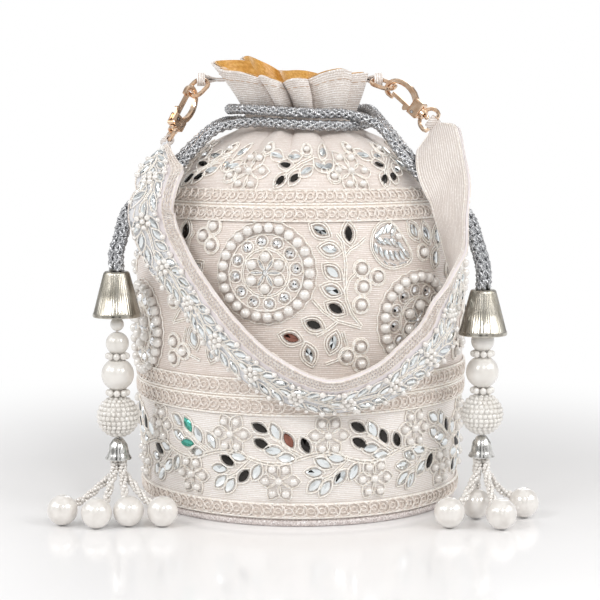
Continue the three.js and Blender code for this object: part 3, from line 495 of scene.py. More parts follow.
def put_in(name, data):
    """Adds an object with this data to the scene and makes it the active one."""
    piece = bpy.data.objects.new(name, data)
    bpy.context.collection.objects.link(piece)
    bpy.ops.object.select_all(action="DESELECT")
    bpy.context.view_layer.objects.active = piece
    piece.select_set(True)
    return piece


def put_mesh(name, spots, faces):
    mesh = bpy.data.meshes.new(name)
    mesh.from_pydata(spots, [], faces)
    return put_in(name, mesh)


def couch(name, lines, radius, material, body, sides=1):
    """Lays threads along lists of points in mm. A line that ends where it starts is closed."""
    curve = bpy.data.curves.new(name, "CURVE")
    curve.dimensions = "3D"
    curve.bevel_depth = radius * MM
    curve.bevel_resolution = sides
    curve.use_fill_caps = True
    for line in lines:
        closed = (line[0] - line[-1]).length < 1e-4
        points = line[:-1] if closed else line
        spline = curve.splines.new("POLY")
        spline.points.add(len(points) - 1)
        for point, spot in zip(spline.points, points):
            point.co = (*(spot * MM), 1)
        spline.use_cyclic_u = closed
    put_in(name, curve)
    bpy.ops.object.convert(target="MESH")
    bpy.ops.object.shade_smooth()
    return keep_active(name, material, body)


# Hem of the ruffle: the turned edge is held by a running stitch of tan cotton,
# which shows outside as a row of short dashes.
tan_thread = new_material("tan_hem_thread", "C9AE97", 0.6)[0]
STITCHES, HEM_HEIGHT = 72, 205.2
hem = []
for k in range(STITCHES):
    hem.append([cloth_point(2 * math.pi * (k + 0.2 * i) / STITCHES, HEM_HEIGHT, 0.15) for i in range(4)])
hem_thread = couch("hem_stitches", hem, 0.2, tan_thread, "bag", 0)

# Lace: bands of looped thread over the seams, two rows of interlocked rings
# on the upper and middle seams and one at the base, between corded edges.
lace_cream = mottled("cream_lace_thread", "F2E6D8", (0.55,), 700.0,
                     [(0.3, "DACCC0"), (0.5, "EBE1D8"), (0.7, "F7F1EB")], 1.0, Sheen_Weight=0.4)
tape_cream = rib_cloth("lace_ground_tape", 0.8, "D5C7BC", "E1D4CA", "EAE0D8", "F4EDE7")


def ring_row(height, size, count, lift):
    """Loops of thread that overlap their neighbours all the way round, each with a small ring inside."""
    rings = []
    radius = wall_at(height)[0]
    for k in range(count):
        middle = 2 * math.pi * k / count
        skew = rng.uniform(-0.25, 0.25)
        for reach, parts in ((0.5, 12), (0.22, 7)):
            loop = []
            for i in range(parts):
                a = 2 * math.pi * i / parts
                over = lift + (0.35 * math.cos(a) if reach > 0.3 else 0)
                across = size * reach * (1.12 * math.cos(a) + skew * math.sin(a))
                loop.append(cloth_point(middle + across / radius, height + size * reach * math.sin(a), over))
            rings.append([*loop, loop[0].copy()])
    return rings


def edge_line(height, lift, count=240):
    line = [cloth_point(2 * math.pi * i / count, height, lift) for i in range(count)]
    return [*line, line[0].copy()]


LACE_BANDS = [
    ("lace_lower", 4.4, 11.4, [(8.0, 6.0)]),
    ("lace_middle", 53, 70, [(57.2, 6.2), (66.0, 6.2)]),
    ("lace_upper", 142, 156, [(145.2, 5.6), (153.2, 5.6)]),
]
RINGS_ROUND = 98
for node, low, high, rows in LACE_BANDS:
    raise_cloth(spread(low, high, 4), 180, 0.75, 0.4)
    keep_active(node + "_tape", tape_cream, "bag", node)
    rings = []
    for height, size in rows:
        rings += ring_row(height, size, RINGS_ROUND, 1.15)
    couch(node + "_rings", rings, 0.4, lace_cream, "bag")
    edges = [edge_line(low + 0.3, 0.95), edge_line(high - 0.3, 0.95)]
    if len(rows) == 2:
        edges += [edge_line((low + high) / 2 - 0.7, 1.0), edge_line((low + high) / 2 + 0.7, 1.0)]
    couch(node + "_edges", edges, 0.45, cream_thread, "bag")

# Embroidery of the pouch: pearl medallions with stones, leaf sprays of cut
# mirror edged in two rows of thread, ringed single pearls and a trailing vine.
pearl_lacquer = mottled("cream_pearl_lacquer", "EDE5DA", (0.3,), 160.0,
                        [(0.25, "D9D3CC"), (0.5, "E7E2DC"), (0.75, "F2EEE9")],
                        Coat_Weight=1.0, Coat_IOR=2.2, Coat_Roughness=0.03, Sheen_Weight=0.15)
mirror_finish = {
    "silver": new_material("silvered_mirror_glass", "E9EDEE", 0.05, 1.0)[0],
    # Painted reflections: the dark and brown mirror glass stand for silvered mirrors that show dark and brown
    # surroundings.
    "dark": new_material("mirror_glass_painted_dark_reflection", "3A3836", 0.06, 1.0)[0],
    "brown": new_material("mirror_glass_painted_brown_reflection", "8B5E52", 0.06, 1.0)[0],
    "teal": new_material("teal_mirror_glass", "58AFA0", 0.08, 0.8)[0],
}
stone_glass = new_material("foiled_crystal", "F2F3F4", 0.05, 1.0)[0]

pearls, stones, threads, metal_threads = [], [], [], []
mirrors = {kind: [] for kind in mirror_finish}


class Ground:
    """Where a motif is sewn: a spot on the cloth, with x to the right and y up along the surface, in mm."""

    def __init__(self, turn, height):
        self.turn, self.height = turn, height
        self.reach = wall_at(height)[0]

    def point(self, x, y, lift):
        return cloth_point(self.turn + x / self.reach, self.height + y, lift)

    def frame(self, x, y, lift, turn=0.0):
        here = self.point(x, y, lift)
        across = (self.point(x + 0.5, y, lift) - self.point(x - 0.5, y, lift)).normalized()
        up = (self.point(x, y + 0.5, lift) - self.point(x, y - 0.5, lift)).normalized()
        out = across.cross(up).normalized()
        up = out.cross(across)
        stand = Matrix((across, up, out)).transposed().to_4x4()
        return Matrix.Translation(here) @ stand @ Matrix.Rotation(turn, 4, "Z")


def polar(radius, angle):
    return radius * math.cos(angle), radius * math.sin(angle)


def sew_pearl(ground, x, y, size):
    pearls.append(ground.frame(x, y, size * 0.34, rng.uniform(0, 6.28)) @ Matrix.Scale(size, 4))


def sew_line(ground, spots, lift=0.35, into=None):
    (threads if into is None else into).append([ground.point(x, y, lift) for x, y in spots])


def sew_circle(ground, x, y, radius, parts=16, wobble=0.0, lift=0.35, into=None):
    spots = []
    for i in range(parts):
        u, v = polar(radius + wobble * math.cos(i * math.pi), 2 * math.pi * i / parts)
        spots.append((x + u, y + v))
    sew_line(ground, [*spots, spots[0]], lift, into)


def leaf_spots(x, y, angle, length, width, parts=7):
    """The outline of a pointed leaf about its middle."""
    spots = []
    for side in (1, -1):
        for i in range(parts):
            t = -1 + 2 * i / parts if side > 0 else 1 - 2 * i / parts
            u, v = t * length / 2, side * (1 - t * t) * width / 2
            spots.append((x + u * math.cos(angle) - v * math.sin(angle),
                          y + u * math.sin(angle) + v * math.cos(angle)))
    return [*spots, spots[0]]


def sew_leaf(ground, x, y, degrees, length=7.2, width=3.8, kind="silver", outlines=2):
    """A leaf of cut mirror between rows of couched thread."""
    angle = math.radians(degrees)
    tilt = Matrix.Rotation(rng.uniform(-0.2, 0.2), 4, "X") @ Matrix.Rotation(rng.uniform(-0.2, 0.2), 4, "Y")
    mirrors[kind].append(ground.frame(x, y, 0.5, angle) @ tilt @ Matrix.Diagonal((length, width, 1, 1)))
    sew_line(ground, leaf_spots(x, y, angle, length + 2.6, width + 2.0), 0.6)
    if outlines > 1:
        sew_line(ground, leaf_spots(x, y, angle, length + 5.6, width + 4.4), 0.45)


def sew_stone(ground, x, y, size):
    stones.append(ground.frame(x, y, 0.3, rng.uniform(0, 1)) @ Matrix.Scale(size, 4))
    sew_circle(ground, x, y, size * 0.5 + 0.9, 12, 0, 0.5)


def ringed_pearl(ground, x, y, size=4.4, gap=1.25):
    sew_pearl(ground, x, y, size)
    sew_circle(ground, x, y, size / 2 + gap, 16, 0, 0.7)
    sew_circle(ground, x, y, size / 2 + gap + 0.7, 16, 0, 0.45)


def medallion(ground):
    """Six pearls round a star stone, a double thread ring, twelve ringed stones and a border of pearls."""
    stones.append(ground.frame(0, 0, 0.5) @ Matrix.Scale(3.0, 4))
    for i in range(6):
        a = math.radians(60 * i + 30)
        sew_pearl(ground, *polar(7.2, a), 4.9)
        sew_line(ground, leaf_spots(*polar(5.6, a), a, 10.6, 7.4), 0.5)
        b = math.radians(60 * i)
        sew_line(ground, [polar(1.4, b), polar(6.6, b)], 0.8, metal_threads)
    for radius in (10.5, 11.4, 17.6):
        sew_circle(ground, 0, 0, radius, 36, 0.12, 0.5)
    for i in range(12):
        sew_stone(ground, *polar(14.4, math.radians(30 * i + 8)), 4.2)
    for i in range(25):
        x, y = polar(20.4, 2 * math.pi * i / 25)
        sew_pearl(ground, x + rng.uniform(-0.2, 0.2), y + rng.uniform(-0.2, 0.2), 4.9)
    sew_circle(ground, 0, 0, 23.6, 50, 0.35, 0.4)


def pearl_flower(ground, x, y, size=3.8):
    """Seven pearls, the outer six each in a thread petal."""
    sew_pearl(ground, x, y, size)
    for px, py in ((-3.0, 5.7), (3.1, 5.7), (-6.2, 0.1), (6.8, 0.0), (-3.0, -5.8), (3.2, -5.9)):
        sew_pearl(ground, x + px, y + py, size)
        way = math.atan2(py, px)
        sew_line(ground, leaf_spots(x + px * 0.86, y + py * 0.86, way, 9.4, 6.6), 0.5)


def sew_stem(ground, spots, gap=1.0):
    """Two threads side by side along a bending stem."""
    for shift in (-gap / 2, gap / 2):
        line = []
        for i, (x, y) in enumerate(spots):
            (ax, ay), (bx, by) = spots[max(i - 1, 0)], spots[min(i + 1, len(spots) - 1)]
            size = math.hypot(bx - ax, by - ay)
            line.append((x - (by - ay) / size * shift, y + (bx - ax) / size * shift))
        sew_line(ground, line, 0.5)


PAISLEY_EDGE = ((-2.8, 11.1), (1.4, 10.5), (4.1, 7.6), (7.6, 2.9), (11, -2.9), (12, -5.8), (10, -9.3),
                (4.1, -11.1), (-1.4, -11.7), (-6.2, -9.9), (-9.6, -6.4), (-12, -1.2), (-11.3, 2.9),
                (-10, 6.4), (-6.9, 9.6))
PAISLEY_MIRRORS = ((-7.4, 4.6, 50), (-5.3, 6.0, 52), (-3.0, 6.9, 54), (-0.7, 7.1, 56), (1.5, 5.9, 60),
                   (-8.9, -1.6, -80), (-6.3, -3.6, -75), (-3.6, -4.7, -71), (-0.8, -5.2, -67),
                   (2.1, -5.4, -63), (5.0, -5.2, -58), (7.8, -4.8, -52), (-5.6, 1.4, -40), (-2.2, 1.0, -44),
                   (1.4, 0.2, -48), (4.9, -1.0, -50))
PAISLEY_BUGLES = (((-8.4, 1.9), (-6.6, 0.4)), ((-3.6, 2.9), (-1.4, 1.9)), ((-0.6, 2.9), (1.6, 1.6)),
                  ((2.6, 0.6), (4.4, 0.0)), ((-5.4, -7.4), (-3.4, -9.2)), ((-1.8, -8.8), (1.2, -9.8)),
                  ((3.2, -9.2), (7.2, -8.6)))


def paisley(ground, x, y):
    """A filled drop: two thread outlines round a head and a fan of slender mirrors, bugles and a pearl."""
    edge = []
    for (ax, ay), (bx, by) in zip(PAISLEY_EDGE, [*PAISLEY_EDGE[1:], PAISLEY_EDGE[0]]):
        edge += [(near * ax + (1 - near) * bx, near * ay + (1 - near) * by) for near in (0.75, 0.25)]
    for grow in (0.92, 1.0):
        sew_line(ground, [(x + grow * ex, y + grow * ey) for ex, ey in [*edge, edge[0]]], 0.5)
    for mx, my, way in PAISLEY_MIRRORS:
        lean = Matrix.Rotation(rng.uniform(-0.3, 0.3), 4, "X") @ Matrix.Diagonal((5.6, 2.3, 1, 1))
        mirrors["silver"].append(ground.frame(x + mx, y + my, 0.5, math.radians(way)) @ lean)
    for line in PAISLEY_BUGLES:
        sew_line(ground, [(x + bx, y + by) for bx, by in line], 0.8, metal_threads)
    sew_pearl(ground, x + 3.8, y + 3.4, 3.4)


LEAF_CHAIN = ((-11, 18.3, 150, "silver"), (-6.7, 9.7, 170, "silver"), (2.7, 16.7, 95, "dark"),
              (-5.7, -0.7, 140, "silver"), (-6, -9, 160, "silver"), (-4.3, -17.3, 150, "dark"),
              (-14.3, -24.7, 155, "dark"), (-24.7, -30.7, 165, "brown"), (-16.4, -38.4, 105, "silver"),
              (-5.5, -33, 75, "silver"))
CHAIN_STEMS = (((-3.3, 16.7), (-0.6, 13), (0, 8), (0.7, 2.7), (0, -5.3), (0.7, -13.3), (3.3, -20), (8, -26)),
               ((0.4, 6.7), (3, 9.4), (6.7, 11.3), (11, 14.6)),
               ((-14.7, -13.3), (-10, -18.7), (-3.3, -23.3), (8, -26.6)),
               ((0.4, -9), (2.2, -4), (5, -1.6)), ((-13, -30), (-8, -27), (-3.3, -23.3)),
               ((-1, -28), (1.5, -36), (-3, -41), (-9, -43)))
CHAIN_PEARLS = ((8.2, 0.6), (16.2, -3.4), (8.8, -7.7), (7.7, -16), (7.6, -35.5), (1.1, -39.6), (8, -43.4))
MEDALLIONS = [(-68.7, 88), (-11.3, 119), (42.5, 95), (104.7, 119), (166.9, 92), (229.1, 119)]
for degrees, height in MEDALLIONS:
    medallion(Ground(math.radians(degrees), height))
for (left, left_height), (right, _) in zip(MEDALLIONS, [*MEDALLIONS[1:], (MEDALLIONS[0][0] + 360, 0)]):
    ground = Ground(math.radians((left + right) / 2 - 1), 120)
    hand = 1 if left_height > 110 else -1
    for x, y, way, kind in LEAF_CHAIN if hand > 0 else LEAF_CHAIN[2:]:
        sew_leaf(ground, hand * x, y, way if hand > 0 else 180 - way, kind=kind)
    for stem in CHAIN_STEMS:
        sew_stem(ground, [(hand * x, y) for x, y in stem])
    for x, y in CHAIN_PEARLS:
        ringed_pearl(ground, hand * x, y)
    if hand > 0:
        paisley(ground, 25, 11.3)
        for x, y, way in ((-44.5, -34, 75), (-38.5, -38, 95), (-32.5, -41.5, 115)):
            sew_leaf(ground, x, y, way, 6.6, 3.4, "silver", 1)
    else:
        for x, y in ((14.5, 19.4), (9.1, 14.9), (14.1, 10.8)):
            ringed_pearl(ground, x, y)
        for x, y, way in ((-42.3, 16.8, -60), (-33.5, 15.5, -75), (-28.5, 3.5, 70), (-24.5, 13.5, 80)):
            sew_leaf(ground, x, y, way, 7.0, 3.7)
        ringed_pearl(ground, -37.6, 6.6)

# Lower tier: a waving vine of two threads, with a spray of seven mirror leaves
# above and below it by turns and pearl flowers in the bays.
UP_SPRAY = ((-19.6, 14.4, 150), (-12.3, 12.8, 115), (-6.3, 8.9, 117), (1.3, 6.6, 117), (-18.8, 6.9, 150),
            (-13.2, 3.9, 178), (-7.6, 0.4, 180))
DOWN_SPRAY = ((-12.3, -2.0, 152), (-6.3, 0.2, 170), (-16.4, -6.3, 178), (-16.2, -12.5, 225),
              (-11.2, -14.0, 237), (-4.2, -8.9, 228), (2.3, -6.6, 245))
UP_TINTS = ("dsbddss", "dsdddss", "ssdssss", "sbsssds", "dssdsss", "sssssds", "tssdsss", "dsbddss", "ssssdss",
            "dsdsdss", "stsssts")
DOWN_TINTS = ("dssssds", "sssssss", "ssssssd", "dssdsss", "sssssss", "sdsssbs", "sssssss", "dssssds",
              "ssstsss", "sssssss", "dssssss")
TINTS = {"s": "silver", "d": "dark", "b": "brown", "t": "teal"}
VINES = 11
for k in range(VINES):
    ground = Ground(2 * math.pi * k / VINES + 0.014, 32.6)
    unit = 2 * math.pi * ground.reach / VINES
    half = unit * 0.52
    wave = [(unit * t - unit, 2.6 * math.sin(2 * math.pi * (t + 0.05))) for t in spread(0, 1, 14)]
    sew_stem(ground, wave, 1.3)
    sew_stem(ground, [(0, 1.5), (-5, 4.2), (-10, 8), (-15, 10.6)])
    sew_stem(ground, [(-half, 0), (-half - 4, -4), (-half - 8.5, -8), (-half - 12, -9.5)])
    for spray, tints, shift in ((UP_SPRAY, UP_TINTS[k], 0), (DOWN_SPRAY, DOWN_TINTS[k], half)):
        for (x, y, way), tint in zip(spray, tints):
            sew_leaf(ground, x - shift, y, way, 7.7, 4.0, TINTS[tint], 1)
    pearl_flower(ground, -unit * 0.74, 11.0)
    pearl_flower(ground, -unit * 0.24, -10.6)

# Shoulder: pearl flowers and short sprays of mirror leaves above the lace,
# sewn before the cloth was gathered, so they ride over the folds.
SHOULDER_SPRAY = ((16, 5.2, 175, "dark"), (14, -1.6, 60, "dark"), (20.5, -0.4, 60, "dark"),
                  (26, 2.6, 35, "silver"), (20, 9.0, 5, "silver"), (33, 5.0, 130, "silver"),
                  (10, 9.5, 150, "silver"),
                  (-13, 4.6, 30, "silver"), (-14, 11, 60, "silver"))
REPEATS = 8
for k in range(REPEATS):
    ground = Ground(2 * math.pi * k / REPEATS - 0.36, 162)
    pearl_flower(ground, -2, 2.2, 3.6)
    for x, y, way, kind in SHOULDER_SPRAY:
        sew_leaf(ground, x, y, way, 6.4, 3.3, kind, 1)
    sew_stem(ground, [(12, -4), (18, 2.6), (24, 6.4), (31, 9)])
    for x, y in ((4, 12.5), (27, 12.0), (39, 0.0)):
        ringed_pearl(ground, x, y, 3.2, 0.9)


def sewn_copies(name, places, material, body, smooth):
    """Repeats the active piece at each place, as one mesh."""
    master = bpy.context.object
    corners = [v.co.copy() for v in master.data.vertices]
    faces = [tuple(f.vertices) for f in master.data.polygons]
    spots, rounds = [], []
    for place in places:
        start = len(spots)
        spots += [(place @ corner) * MM for corner in corners]
        rounds += [tuple(i + start for i in face) for face in faces]
    bpy.data.objects.remove(master)
    piece = put_mesh(name, spots, rounds)
    piece.data.polygons.foreach_set("use_smooth", [smooth] * len(rounds))
    return keep_active(name, material, body)


def pearl_master(segments=10, rings=6):
    bpy.ops.object.select_all(action="DESELECT")
    bpy.ops.mesh.primitive_uv_sphere_add(segments=segments, ring_count=rings, radius=0.5)


def mirror_master():
    """A cut mirror: a leaf of glass with a ground edge and low facets, one unit long and wide."""
    bpy.ops.object.select_all(action="DESELECT")
    bpy.ops.mesh.primitive_circle_add(vertices=12, radius=0.5, fill_type="NGON")
    edit_mesh()
    bpy.ops.mesh.extrude_region_move(TRANSFORM_OT_translate={"value": (0, 0, 0.55)})
    bpy.ops.transform.resize(value=(0.86, 0.8, 1))
    bpy.ops.mesh.poke(offset=0.22)
    bpy.ops.object.mode_set(mode="OBJECT")
    for vertex in bpy.context.object.data.vertices:
        vertex.co.y *= math.sqrt(max(1 - (2 * vertex.co.x) ** 2, 0.0)) * 0.5 + 0.5


def stone_master():
    """A round stone with a flat table, eight slanting facets and a metal cup below."""
    bpy.ops.object.select_all(action="DESELECT")
    bpy.ops.mesh.primitive_circle_add(vertices=8, radius=0.5, fill_type="NGON")
    edit_mesh()
    bpy.ops.mesh.extrude_region_move(TRANSFORM_OT_translate={"value": (0, 0, 0.16)})
    bpy.ops.mesh.extrude_region_move(TRANSFORM_OT_translate={"value": (0, 0, 0.2)})
    bpy.ops.transform.resize(value=(0.55, 0.55, 1))
    bpy.ops.mesh.poke(offset=0.05)
    bpy.ops.object.mode_set(mode="OBJECT")


pearl_master()
sewn_copies("sewn_pearls", pearls, pearl_lacquer, "bag", True)
for kind, finish in mirror_finish.items():
    mirror_master()
    sewn_copies(f"sewn_{kind}_mirrors", mirrors[kind], finish, "bag", False)
stone_master()
sewn_copies("sewn_stones", stones, stone_glass, "bag", False)
couch("couched_outlines", threads, 0.4, cream_thread, "bag", 0)
couch("couched_metal_threads", metal_threads, 0.36, silver_thread, "bag", 0)

# Drawcords: braided silver lurex, eight yarns over and under each other. Each
# runs round the neck above the shoulder and both its ends go down to one tassel.
CORD = 5.2
CORD_LIFT = 1.2


def smooth_route(points):
    """A centripetal curve through the points: place at t from 0 to 1."""
    count = len(points)

    def at(t):
        spot = t * (count - 1)
        i = min(int(spot), count - 2)
        w = spot - i
        p1, p2 = points[i], points[i + 1]
        p0 = points[i - 1] if i > 0 else p1 * 2 - p2
        p3 = points[i + 2] if i + 2 < count else p2 * 2 - p1
        d1 = max((p2 - p1).length_squared ** 0.25, 1e-4)
        d0 = (p1 - p0).length_squared ** 0.25 or d1
        d2 = (p3 - p2).length_squared ** 0.25 or d1
        t1 = ((p1 - p0) / d0 - (p2 - p0) / (d0 + d1) + (p2 - p1) / d1) * d1
        t2 = ((p2 - p1) / d1 - (p3 - p1) / (d1 + d2) + (p3 - p2) / d2) * d1
        return p1 + t1 * w + (-3 * p1 + 3 * p2 - 2 * t1 - t2) * w ** 2 + (2 * p1 - 2 * p2 + t1 + t2) * w ** 3
    return at


def even_steps(route, step):
    """Points about a step apart along a route, evenly from its start to its end, and its length."""
    fine = [route(i / 3000) for i in range(3001)]
    length = sum((b - a).length for a, b in zip(fine, fine[1:]))
    step = length / round(length / step)
    out, travelled = [fine[0]], 0.0
    for a, b in zip(fine, fine[1:]):
        travelled += (b - a).length
        if travelled > step * len(out) - 1e-6:
            out.append(b)
    return out, length


def lift_off(place):
    """Moves a point away from the cloth until a cord there clears it, and gives the way out."""
    level = Vector((math.hypot(place.x, place.y), place.z))
    i = min(range(0, len(WALL), 5), key=lambda k: (Vector(WALL[k]) - level).length)
    near = Vector(WALL[i])
    ahead = Vector(WALL[min(i + 1, WALL_STEPS)]) - Vector(WALL[max(i - 1, 0)])
    out = Vector((ahead.y, -ahead.x)).normalized()
    pleat = 2.2 if place.z > HIGH_SEAM else 0
    short = max(CORD / 2 + 0.3 + CORD_LIFT + pleat - (level - near).dot(out), 0)
    grow = (level.x + out.x * short) / level.x
    away = Vector((place.x / level.x * out.x, place.y / level.x * out.x, out.y))
    return Vector((place.x * grow, place.y * grow, place.z + out.y * short)), away


def neck_points(start, stop, height):
    """The way round the neck. At the front the cord sags on the gathers, most towards the right."""
    spots = []
    for degrees in spread(start, stop, 16):
        turn = math.radians(degrees)
        level = height - max(math.cos(turn), 0) * (1.5 + 2.0 * math.sin(turn))
        edges = [wall_at(level + s * CORD / 2)[0] + CORD / 2 * math.sqrt(1 - s * s) for s in spread(-1, 1, 8)]
        reach = max(edges) + 3.6 + CORD_LIFT
        spots.append(Vector((reach * math.sin(turn), -reach * math.cos(turn), level)))
    return spots


TASSEL = 103 * math.sin(math.radians(57)), -103 * math.cos(math.radians(57))
CORD_ROUTES = {
    "left": (-1, 117.6, 187.6, (-38, 262), [(-40.8, -28, 184.5), (-52.5, -34, 174), (-62.6, -42, 162.4),
                                            (-70.8, -46, 154.5), (-80.9, -50, 145.3), (-85, -53, 132)]),
    "right": (1, 109.0, 193.4, (38, -262), [(39, -26, 186), (49, -36, 172), (59.5, -44, 161),
                                            (70.1, -48, 152), (79, -51, 142.5), (83.5, -54, 130)]),
}


def heading(line, i):
    """The way a line of points runs at one of them."""
    return (line[min(i + 1, len(line) - 1)] - line[max(i - 1, 0)]).normalized()


def cord_path(side):
    sign, cone_top, height, (start, stop), route = CORD_ROUTES[side]
    foot = Vector((sign * TASSEL[0], TASSEL[1], cone_top + 0.3))
    places = [lift_off(Vector(p))[0] for p in route] + [foot + Vector((0, 0, 9)), foot]
    front, back = [], []
    for i, place in enumerate(places):
        beside = lift_off(place)[1].cross(heading(places, i)).normalized() * sign * (CORD / 2 + 0.15)
        if i >= len(route):
            beside.z = 0
        back.append(place + beside)
        front.append(place - beside)
    return smooth_route([*reversed(front), *neck_points(start, stop, height), *back])


def tube_mesh(name, centres, radius, sides):
    """Skins rings of points along several centrelines as one mesh, with the ends closed."""
    spots, faces = [], []
    for line in centres:
        start = len(spots)
        for i, here in enumerate(line):
            along = heading(line, i)
            side = along.cross(Vector((0.123, 0.21, 0.97))).normalized()
            up = along.cross(side)
            for k in range(sides):
                a = 2 * math.pi * k / sides
                spots.append((here + (side * math.cos(a) + up * math.sin(a)) * radius) * MM)
        for i in range(len(line) - 1):
            for k in range(sides):
                a, b = start + i * sides + k, start + i * sides + (k + 1) % sides
                faces.append((a, a + sides, b + sides, b))
        faces.append(tuple(start + k for k in range(sides)))
        last = start + (len(line) - 1) * sides
        faces.append(tuple(last + k for k in reversed(range(sides))))
    piece = put_mesh(name, spots, faces)
    piece.data.polygons.foreach_set("use_smooth", [True] * len(faces))
    edit_mesh()
    bpy.ops.mesh.normals_make_consistent(inside=False)
    bpy.ops.object.mode_set(mode="OBJECT")
    return piece


def braid(path, pitch=17.0, core=1.55, weave=0.42):
    """Eight yarns: four turn one way and four the other, each over one and under the next."""
    lines = [[] for _ in range(8)]
    side = (path[1] - path[0]).cross(Vector((0, 0, 1)))
    side = side.normalized() if side.length > 1e-3 else Vector((1, 0, 0))
    travelled = 0.0
    for i, here in enumerate(path):
        along = heading(path, i)
        side = (side - along * side.dot(along)).normalized()
        up = along.cross(side)
        travelled += (here - path[i - 1]).length if i else 0.0
        spin = 2 * math.pi * travelled / pitch
        for k in range(4):
            for hand in (1, -1):
                a = hand * spin + k * math.pi / 2
                r = core + hand * weave * math.cos(4 * spin)
                lines[2 * k + (hand > 0)].append(here + (side * math.cos(a) + up * math.sin(a)) * r)
    return lines


# Painted glints: the colour jumps in fine specks from dark grey to white, for light caught and lost along the
# metallic yarns.
silver_braid_painted_glints = mottled("silver_lurex_braid_painted_glints", "A9AAAD", (0.3, 0.9), 2100.0,
                       [(0.3, "5A5B5E"), (0.46, "939497"), (0.58, "D2D3D5"), (0.7, "FFFFFF")], 1.0,
                       bump=(0.6, 0.0004))
# Painted shade: the core inside the braid is dark grey, for the shade in the gaps between the yarns.
braid_gap_painted_shade = new_material("braid_core_painted_shade", "3B3C3E", 0.7)[0]
cord_pieces = {}
for side in ("left", "right"):
    path, length = even_steps(cord_path(side), 1.1)
    core = tube_mesh(side + "_cord_core", [path[::3] + path[-1:]], 1.5, 8)
    core.data.materials.append(braid_gap_painted_shade)
    tube_mesh(side + "_braided_cord", braid(path), 0.84, 6).data.materials.append(silver_braid_painted_glints)
    core.select_set(True)
    bpy.ops.object.join()
    piece = bpy.context.object
    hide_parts(side + "_drawcord")
    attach(piece, "bag")
    cord_pieces[side] = (piece, path, length)

# Tassels: each pair of cord ends goes into a metal cone. A thread from the cone
# carries lacquered pearls, pearl rings, a beaded ball and a bell cap with strands.
pale_gold = mottled("pale_gold_plate", "CFC6B2", (0.2, 1.0), 1.0,
                    [(0.3, "938E82"), (0.5, "B0ABA0"), (0.7, "CCC8BE")], stretch=(300.0, 300.0, 30.0))
silver_plate = mottled("bright_silver_plate", "D4D4D2", (0.16, 1.0), 350.0,
                       [(0.35, "A9A8A4"), (0.6, "DDDCD9")])
warm_pearl = mottled("warm_pearl_lacquer", "F5EBDC", (0.3,), 90.0,
                     [(0.3, "D8D3CC"), (0.5, "E4E0DA"), (0.72, "EFECE7")],
                     Coat_Weight=1.0, Coat_IOR=1.8, Coat_Roughness=0.04)


def bead(name, node, size, centre, material):
    """A lacquered bead with the small dimple of its bore at each pole."""
    bpy.ops.object.select_all(action="DESELECT")
    bpy.ops.mesh.primitive_uv_sphere_add(segments=32, ring_count=18, radius=size / 2 * MM,
                                         location=[c * MM for c in centre])
    bpy.ops.object.transform_apply(location=True, rotation=True, scale=True)
    dimple = size * 0.02 * MM
    for vertex in bpy.context.object.data.vertices:
        rise = (vertex.co.z - centre[2] * MM) / (size / 2 * MM)
        if abs(rise) > 0.999:
            vertex.co.z -= math.copysign(4 * dimple, rise)
    bpy.ops.object.shade_smooth()
    return keep_active(name, material, "bag", node)


def seed_beads(name, nodes, places, size, material):
    pearl_master(10, 7)
    stands = [Matrix.Translation(p) @ Matrix.Scale(size, 4) for p in places]
    piece = sewn_copies(name, stands, material, "bag", True)
    if nodes:
        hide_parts(*nodes)
    return piece


FLUTES = 60
CONE_HEIGHT = 21.5
SMALL, MEDIUM, LARGE, BALL, END_PEARL = 6.5, 11, 15.6, 20.4, 14.4
BALL_ROWS, SEED_REACH, SEED_PITCH = 13, 9.1, 2.25
STRAND_SQUARE = 1.9
END_HEIGHT = 7.4
RING_BEAD = 3.3
RING_REACH = RING_BEAD / 2 / math.sin(math.pi / 8)


def nest(size):
    reach = size / 2 + RING_BEAD / 2 + 0.3
    return math.sqrt(max(reach ** 2 - RING_REACH ** 2, 0))


